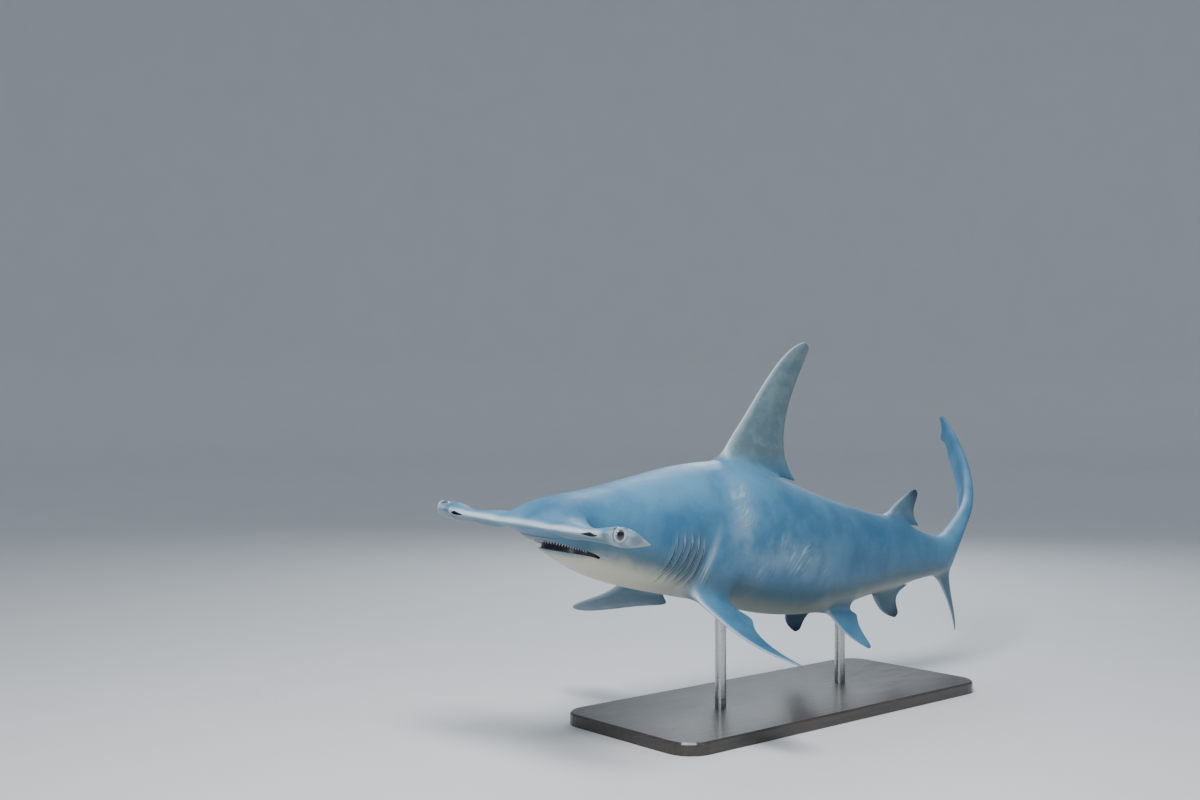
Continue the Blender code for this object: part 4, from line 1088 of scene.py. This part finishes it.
def build_skin(hide, lining, slit):
    """The whole skin as one closed surface, with its openings, in the pose."""
    points, faces, marks = build_cage()
    skin = mesh_object("skin", points, faces, hide)
    for k, name in enumerate(MARKS):
        write_mark(skin, name, np.array([mark[k] for mark in marks]))
    write_mark(skin, "kept", np.ones(len(points)))
    modifier = skin.modifiers.new("rounding", "SUBSURF")
    modifier.levels = modifier.render_levels = SKIN_LEVEL
    apply_modifiers(skin)
    refine(skin)
    sculpt(skin)
    known = {name: read_mark(skin, name) for name in MARKS}
    known["co"] = places(skin)
    combine(skin, joined("lids", [lid_ring("lid_left", 1), lid_ring("lid_right", -1)]), "UNION")
    cutters = [mouth_slot(lining)]
    for side, prefix in ((1, "left"), (-1, "right")):
        path = [(s, side * y, z) for s, y, z in NOSTRIL_PATH]
        cutters.append(groove(prefix + "_nostril", path, NOSTRIL_RADII, lining))
        cutters.append(socket(prefix + "_socket", side, lining))
        for k, top in enumerate(GILL_TOPS):
            cutters.append(gill_slot(f"{prefix}_gill_{k}", top, side, slit))
    combine(skin, joined("openings", cutters), "DIFFERENCE")
    fill_marks(skin, known)
    paint_marks(skin)
    set_places(skin, bend_all(places(skin)))
    finish_surface(skin)
    return skin


def finish_surface(obj):
    """Rounds the shading, keeps real creases sharp and clears scraps of the cuts."""
    bm = bmesh.new()
    bm.from_mesh(obj.data)
    bmesh.ops.dissolve_degenerate(bm, dist=1e-6, edges=bm.edges)
    bm.to_mesh(obj.data)
    bm.free()
    obj.data.polygons.foreach_set("use_smooth", [True] * len(obj.data.polygons))
    obj.data.set_sharp_from_angle(angle=SHARP_ANGLE)


def tooth_points(base, along, out, height):
    """A flat, pointed tooth that leans a little along the jaw, with a rounded face."""
    s, y, z = base
    way = 1.0 if height > 0 else -1.0
    half_wide, half_thick = TOOTH_SIZE[0] / 2, TOOTH_SIZE[1] / 2
    rows = [(-TOOTH_SINK * way, 1.0, 1.0), (0.0, 1.0, 1.0), (0.45 * height, 0.62, 0.8),
            (0.8 * height, 0.25, 0.5)]
    corners = [(-1, 0), (-0.5, 1), (0.5, 1), (1, 0), (0.5, -0.7), (-0.5, -0.7)]
    points = []
    for rise, wide, thick in rows:
        lean = TOOTH_LEAN * abs(rise)
        for a, o in corners:
            across, off = half_wide * wide * a + lean, half_thick * thick * o
            points.append((s + along[0] * across + out[0] * off,
                           y + along[1] * across + out[1] * off, z + rise))
    lean = TOOTH_LEAN * abs(height)
    points.append((s + along[0] * lean, y + along[1] * lean, z + height))
    count = len(corners)
    faces = [tuple(range(count))]
    for i in range(len(rows) - 1):
        for k in range(count):
            n = (k + 1) % count
            faces.append((i * count + k, i * count + n, (i + 1) * count + n, (i + 1) * count + k))
    top = (len(rows) - 1) * count
    faces += [(top + k, top + (k + 1) % count, len(points) - 1) for k in range(count)]
    return points, faces


def build_teeth(material):
    """Upper and lower rows of teeth along the edges of the mouth, one mesh."""
    points, faces = [], []
    for k in range(TEETH):
        angle = -TOOTH_SWEEP + 2 * TOOTH_SWEEP * (k + 0.5) / TEETH
        size = 1.0 - TOOTH_SHRINK * (1.0 - math.cos(angle))
        size += TOOTH_VARIATION * math.sin(TOOTH_RHYTHM * k)
        half = mouth_opening(angle) / 2
        for row, ends, way in (("upper", UPPER_INSET, -1.0), ("lower", LOWER_INSET, 1.0)):
            if row == "lower" and abs(angle) > LOWER_SWEEP:
                continue
            (s, y, z), out = mouth_place(angle, inset_at(ends, angle))
            side = 1.0 if angle > 0 else -1.0
            along = (-out[1] * side, out[0] * side)
            height = way * TOOTH_SIZE[2] * size * (LOWER_TOOTH_SHARE if row == "lower" else 1.0)
            gum = z - way * half * GUM_SHARE
            new_points, new_faces = tooth_points((s, y, gum), along, out, height)
            faces += [tuple(len(points) + v for v in face) for face in new_faces]
            points += new_points
    teeth = mesh_object("teeth", bend_all(points), faces, material)
    finish_surface(teeth)
    return teeth


def build_eye(name, side, material):
    """An eyeball that knows how far each of its points is from its line of sight."""
    points, faces = ball_points(EYE_RADIUS - 0.0002)
    s = np.array([EYE_CENTRE[0]])
    origin, forward, left, up = (v[0] for v in frames_at(s))
    centre = origin + left * side * EYE_CENTRE[1] + up * EYE_CENTRE[2]
    axes = eye_axes(side, forward, left, up)
    eye = mesh_object(name, centre + points @ axes, faces, material)
    write_mark(eye, "sight", points / EYE_RADIUS)
    finish_surface(eye)
    return eye


class Nodes:
    """Short names for building one material's nodes."""

    def __init__(self, name):
        self.material = bpy.data.materials.new(name)
        self.material.use_nodes = True
        self.tree = self.material.node_tree
        self.shader = self.tree.nodes["Principled BSDF"]

    def put(self, socket_in, value):
        if isinstance(value, bpy.types.NodeSocket):
            self.tree.links.new(value, socket_in)
        elif isinstance(value, tuple):
            socket_in.default_value = value + (1.0,) if len(socket_in.default_value) == 4 else value
        else:
            socket_in.default_value = value

    def set(self, **values):
        for name, value in values.items():
            self.put(self.shader.inputs[name.replace("_", " ")], value)

    def mark(self, name, output="Fac"):
        node = self.tree.nodes.new("ShaderNodeAttribute")
        node.attribute_name = name
        return node.outputs[output]

    def maths(self, operation, a, b=0.0, clamp=False):
        node = self.tree.nodes.new("ShaderNodeMath")
        node.operation = operation
        node.use_clamp = clamp
        self.put(node.inputs[0], a)
        self.put(node.inputs[1], b)
        return node.outputs[0]

    def stretch(self, vector, scale, turn=(0.0, 0.0, 0.0)):
        node = self.tree.nodes.new("ShaderNodeMapping")
        self.put(node.inputs["Vector"], vector)
        node.inputs["Scale"].default_value = scale
        node.inputs["Rotation"].default_value = turn
        return node.outputs[0]

    def noise(self, vector, scale, detail=3.0, roughness=0.5):
        node = self.tree.nodes.new("ShaderNodeTexNoise")
        self.put(node.inputs["Vector"], vector)
        node.inputs["Scale"].default_value = scale
        node.inputs["Detail"].default_value = detail
        node.inputs["Roughness"].default_value = roughness
        return node.outputs["Fac"]

    def step(self, value, low, high, to_low=0.0, to_high=1.0):
        node = self.tree.nodes.new("ShaderNodeMapRange")
        node.interpolation_type = "SMOOTHSTEP"
        self.put(node.inputs["Value"], value)
        for key, number in (("From Min", low), ("From Max", high), ("To Min", to_low),
                            ("To Max", to_high)):
            node.inputs[key].default_value = number
        return node.outputs[0]

    def mix(self, share, a, b):
        node = self.tree.nodes.new("ShaderNodeMix")
        node.data_type = "RGBA"
        self.put(node.inputs["Factor"], share)
        self.put(node.inputs[6], a)
        self.put(node.inputs[7], b)
        return node.outputs[2]

    def bump(self, height, distance, strength=1.0, below=None):
        node = self.tree.nodes.new("ShaderNodeBump")
        self.put(node.inputs["Height"], height)
        node.inputs["Distance"].default_value = distance
        node.inputs["Strength"].default_value = strength
        if below is not None:
            self.put(node.inputs["Normal"], below)
        return node.outputs[0]


def hide_material():
    """Living shark skin: steel blue above, cream below, with scars and dusky tips.

    The pale front edges and gill flap edges are painted highlight; the grey belly, the blue under
    the hammer, the dark bands at the gills and the line under each hammer end's rear edge are
    painted shade.
    """
    n = Nodes("shark_hide")
    place = n.mark("straight", "Vector")
    cloud = n.noise(place, 4.0, 4.0, 0.6)
    mottle = n.noise(n.stretch(place, (1.0, 1.4, 1.4)), 20.0, 4.0, 0.62)
    speck = n.noise(place, 170.0, 2.0, 0.5)
    fine = n.noise(place, 420.0, 3.0, 0.6)
    drift = n.maths("MULTIPLY", n.maths("SUBTRACT", cloud, 0.5), 0.55)
    tone = n.maths("ADD", n.mark("tone"), drift)
    tone = n.maths("ADD", tone, n.maths("MULTIPLY", n.maths("SUBTRACT", mottle, 0.5), 0.22))
    back = n.mix(n.step(cloud, 0.30, 0.70), BACK, BACK_LIGHT)
    back = n.mix(n.step(mottle, 0.50, 0.72, 0.0, 0.35), back, BACK_LIGHT)
    colour = n.mix(n.step(tone, 0.00, 0.60), back, FLANK)
    # Cream throat and vent patch over the belly's grey, which is painted shade
    colour = n.mix(n.step(tone, 0.45, 1.05), colour, n.mix(n.mark("throat"), SHADED_BELLY, CREAM))
    grey = n.mix(n.step(mottle, 0.38, 0.66), FIN_GREY, FIN_GREY_LIGHT)
    colour = n.mix(n.maths("MULTIPLY", n.mark("grey"), 0.90), colour, grey)
    # Painted shade round the rear gill slits
    colour = n.mix(n.maths("MULTIPLY", n.mark("gill_shade"), 0.50), colour, GILL_GREY)
    # Painted shade just behind each gill slit
    colour = n.mix(n.maths("MULTIPLY", n.mark("gill"), 0.55), colour, GILL_GREY)
    colour = n.mix(n.maths("MULTIPLY", n.mark("shoulder"), 0.40), colour, PALE)
    scar = n.mark("scar")
    scratches = n.maths("MAXIMUM", hair_lines(n, place, (2.0, 1.0, 60.0), 0.95, 1.0, 0.010),
                        hair_lines(n, place, (2.0, 1.0, 44.0), 1.20, 1.1, 0.009))
    faint = hair_lines(n, place, (1.5, 1.0, 36.0), 0.45, 1.0, 0.008)
    colour = n.mix(n.maths("MULTIPLY", scratches, n.step(scar, 0.05, 0.8, 0.0, 0.36)), colour, PALE)
    colour = n.mix(n.maths("MULTIPLY", faint, n.step(scar, 0.05, 0.8, 0.0, 0.28)), colour, PALE)
    blotch = n.maths("MULTIPLY", scar, n.step(cloud, 0.46, 0.62))
    colour = n.mix(n.maths("MULTIPLY", blotch, 0.20), colour, PALE)
    # Painted highlight on the edges of the gill flaps
    colour = n.mix(n.maths("MULTIPLY", n.mark("flap"), 0.28), colour, PALE)
    lobe = n.mix(n.step(mottle, 0.4, 0.7), LOBE, LOBE_LIGHT)
    colour = n.mix(n.maths("MULTIPLY", n.mark("lobe"), 0.85), colour, lobe)
    colour = n.mix(n.maths("MULTIPLY", n.mark("corner"), 0.75), colour, CREAM)
    # Painted shadow under the rear edge of each hammer end
    colour = n.mix(n.maths("MULTIPLY", n.mark("rear_edge_shadow"), 0.9), colour, DUSK)
    # Painted highlight along front edges
    colour = n.mix(n.maths("MULTIPLY", n.mark("rim"), 0.85), colour, PALE)
    dusk = n.maths("ADD", n.mark("dusk"), n.maths("MULTIPLY", mottle, 0.2))
    colour = n.mix(n.step(dusk, 0.30, 0.80), colour, DUSK)
    colour = n.mix(n.maths("MULTIPLY", n.mark("lid"), 0.6), colour, LOBE_LIGHT)
    colour = n.mix(n.mark("lid_white"), colour, EYE_WHITE)
    colour = n.mix(n.step(speck, 0.58, 0.78, 0.0, 0.22), colour, DUSK)
    rough = n.step(mottle, 0.3, 0.7, 0.45, 0.58)
    folds = n.noise(n.stretch(place, (95.0, 8.0, 12.0), (0.0, 0.30, 0.0)), 1.0, 3.0, 0.55)
    folds = n.maths("MULTIPLY", folds, n.mark("wrinkle"))
    relief = n.bump(folds, 0.010, 0.55, n.bump(mottle, 0.004, 0.22))
    n.set(Base_Color=colour, Roughness=rough, Normal=n.bump(fine, 0.0006, 0.30, relief))
    n.set(Specular_IOR_Level=0.42, Coat_Weight=0.06, Coat_Roughness=0.30)
    return n.material


def hair_lines(n, place, scale, turn, size, width):
    """Thin broken lines that run along a stretched noise."""
    turned = n.stretch(n.stretch(place, (1.0, 1.0, 1.0), (0.0, turn, 0.0)), scale)
    noise = n.noise(turned, size, 0.0)
    off = n.maths("ABSOLUTE", n.maths("SUBTRACT", noise, 0.5))
    gaps = n.step(n.noise(place, 13.0, 1.0), 0.50, 0.62)
    return n.maths("MULTIPLY", n.step(off, width * 2.4, width), gaps)


def lining_material(name, colour, lighter):
    """Wet lining inside the mouth, nostrils and gill slits, near black as painted shade of their
    depths.
    """
    n = Nodes(name)
    place = n.tree.nodes.new("ShaderNodeTexCoord").outputs["Object"]
    vein = n.noise(place, 60.0, 3.0)
    n.set(Base_Color=n.mix(n.step(vein, 0.4, 0.7), colour, lighter), Roughness=0.35,
          Normal=n.bump(vein, 0.002, 0.4))
    return n.material


def tooth_material():
    n = Nodes("tooth_enamel")
    place = n.tree.nodes.new("ShaderNodeTexCoord").outputs["Object"]
    stain = n.noise(place, 90.0, 3.0)
    # Grey enamel is painted shade inside the mouth; the darker patches are stains
    n.set(Base_Color=n.mix(n.step(stain, 0.4, 0.8), SHADED_ENAMEL, (0.26, 0.25, 0.22)), Roughness=0.25)
    return n.material


def eye_material():
    """Dark pupil and grey-blue iris in a dark ring, by angle from the line of sight."""
    n = Nodes("shark_eye")
    split = n.tree.nodes.new("ShaderNodeSeparateXYZ")
    n.put(split.inputs[0], n.mark("sight", "Vector"))
    ahead, across, up = split.outputs
    away = n.maths("SQRT", n.maths("SUBTRACT", 1.0, n.maths("MULTIPLY", ahead, ahead), True))
    speck = n.noise(n.mark("sight", "Vector"), 14.0, 4.0)
    rays = n.noise(n.stretch(n.mark("sight", "Vector"), (0.5, 9.0, 9.0)), 3.0, 3.0)
    iris = n.mix(n.step(rays, 0.35, 0.65), (0.05, 0.08, 0.12), (0.17, 0.22, 0.28))
    iris = n.mix(n.step(speck, 0.5, 0.8, 0.0, 0.3), iris, (0.40, 0.44, 0.46))
    pupil = n.step(away, 0.54, 0.58)
    colour = n.mix(pupil, (0.003, 0.004, 0.007), iris)
    colour = n.mix(n.step(away, 0.66, 0.69), colour, (0.02, 0.03, 0.05))
    colour = n.mix(n.step(away, 0.73, 0.77), colour, GILL_GREY)
    n.set(Base_Color=colour, Roughness=0.12, Coat_Weight=1.0, Coat_Roughness=0.04)
    return n.material


def board_material():
    """Dark lacquered board with a faint grain along its length."""
    n = Nodes("stand_lacquer")
    place = n.tree.nodes.new("ShaderNodeTexCoord").outputs["Object"]
    grain = n.noise(n.stretch(place, (1.2, 26.0, 26.0)), 4.0, 6.0, 0.65)
    pore = n.noise(n.stretch(place, (8.0, 160.0, 160.0)), 3.0, 3.0)
    colour = n.mix(n.step(grain, 0.3, 0.7), (0.018, 0.016, 0.015), (0.050, 0.040, 0.034))
    n.set(Base_Color=colour, Roughness=n.step(grain, 0.3, 0.7, 0.28, 0.42),
          Normal=n.bump(pore, 0.0006, 0.25), Coat_Weight=0.35, Coat_Roughness=0.12)
    return n.material


def steel_material():
    """Brushed steel with fine rings round each rod."""
    n = Nodes("stand_brushed_steel")
    place = n.tree.nodes.new("ShaderNodeTexCoord").outputs["Object"]
    brush = n.noise(n.stretch(place, (6.0, 6.0, 900.0)), 2.0, 3.0)
    n.set(Base_Color=n.mix(n.step(brush, 0.3, 0.7), (0.48, 0.49, 0.50), (0.62, 0.63, 0.64)),
          Metallic=1.0, Roughness=n.step(brush, 0.3, 0.7, 0.24, 0.38),
          Normal=n.bump(brush, 0.0002, 0.3))
    return n.material


def floor_material():
    n = Nodes("studio_floor")
    place = n.tree.nodes.new("ShaderNodeTexCoord").outputs["Object"]
    grain = n.noise(place, 3.0, 3.0)
    n.set(Base_Color=n.mix(grain, (0.62, 0.64, 0.66), (0.66, 0.68, 0.70)), Roughness=0.75)
    return n.material


def set_stage():
    """Pale floor that curves up behind the model."""
    radius, rise = 14.0, 9.0
    points, faces = [], []
    rings = [(0.0, 0.0), (4.0, 0.0), (8.0, 0.0), (11.0, 0.35), (13.0, 1.6), (radius, rise)]
    steps = 64
    for reach, z in rings:
        for k in range(steps):
            angle = 2 * math.pi * k / steps
            points.append((reach * math.cos(angle), reach * math.sin(angle), z - 0.0005))
    for i in range(len(rings) - 1):
        for k in range(steps):
            n = (k + 1) % steps
            faces.append((i * steps + k, i * steps + n, (i + 1) * steps + n, (i + 1) * steps + k))
    floor = mesh_object("studio_floor", points, faces, floor_material())
    floor.data.polygons.foreach_set("use_smooth", [True] * len(floor.data.polygons))


def add_light(name, place, target, size, power, colour):
    data = bpy.data.lights.new(name, "AREA")
    data.shape = "DISK"
    data.size = size
    data.energy = power
    data.color = colour
    light = bpy.data.objects.new(name, data)
    light.location = place
    light.rotation_mode = "QUATERNION"
    light.rotation_quaternion = (Vector(target) - Vector(place)).to_track_quat("-Z", "Y")
    bpy.context.scene.collection.objects.link(light)


def set_lights():
    world = bpy.data.worlds.new("studio")
    world.use_nodes = True
    background = world.node_tree.nodes["Background"]
    background.inputs["Color"].default_value = (0.78, 0.88, 1.0, 1.0)
    background.inputs["Strength"].default_value = 0.42
    bpy.context.scene.world = world
    centre = (0.2, 0.0, 0.6)
    add_light("key", (2.2, 1.4, 4.6), centre, 2.2, 300.0, (1.0, 0.98, 0.95))
    add_light("front_fill", (4.6, 2.2, 1.6), centre, 2.0, 55.0, (0.95, 0.97, 1.0))
    add_light("back_rim", (-3.2, -3.0, 3.2), centre, 2.4, 110.0, (0.85, 0.93, 1.0))


def set_camera():
    """Camera level and looking the way the photograph was taken."""
    right = Vector((-math.cos(CAMERA_YAW), math.sin(CAMERA_YAW), 0.0))
    away = Vector((-math.sin(CAMERA_YAW), -math.cos(CAMERA_YAW), 0.0))
    down = Vector((0.0, 0.0, -1.0))
    aside, below, back = CAMERA_OFFSET
    data = bpy.data.cameras.new("camera")
    data.lens = CAMERA_LENS
    data.sensor_width = 36.0
    camera = bpy.data.objects.new("camera", data)
    camera.location = Vector(SPINE_PLACE) - (right * aside + down * below + away * back)
    camera.rotation_mode = "QUATERNION"
    camera.rotation_quaternion = away.to_track_quat("-Z", "Y")
    bpy.context.scene.collection.objects.link(camera)
    bpy.context.scene.camera = camera


def repaint(node, material):
    node.data.materials.clear()
    node.data.materials.append(material)


def main():
    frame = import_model()
    set_camera()
    set_stage()
    set_lights()

    lining = lining_material("mouth_lining", LINING_SHADE, (0.030, 0.030, 0.045))
    # The gill slits' near-black lining is painted shade too
    slit = lining_material("gill_lining", (0.022, 0.032, 0.045), (0.050, 0.055, 0.065))
    skin = build_skin(hide_material(), lining, slit)
    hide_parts("head", "torso", "tail_stalk", "tail_fin", "first_dorsal_fin",
                "second_dorsal_fin", "anal_fin", "left_pectoral_fin", "right_pectoral_fin",
                "left_pelvic_fin", "right_pelvic_fin")
    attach(skin, "root")
    teeth = build_teeth(tooth_material())
    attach(teeth, "root")
    eye = eye_material()
    for side, prefix in ((1, "left"), (-1, "right")):
        ball = build_eye(prefix + "_eyeball", side, eye)
        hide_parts(prefix + "_eye")
        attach(ball, "root")
    repaint(frame["nodes"]["stand_base"], board_material())
    steel = steel_material()
    for name in ("stand_rod_front", "stand_rod_rear"):
        repaint(frame["nodes"][name], steel)


main()
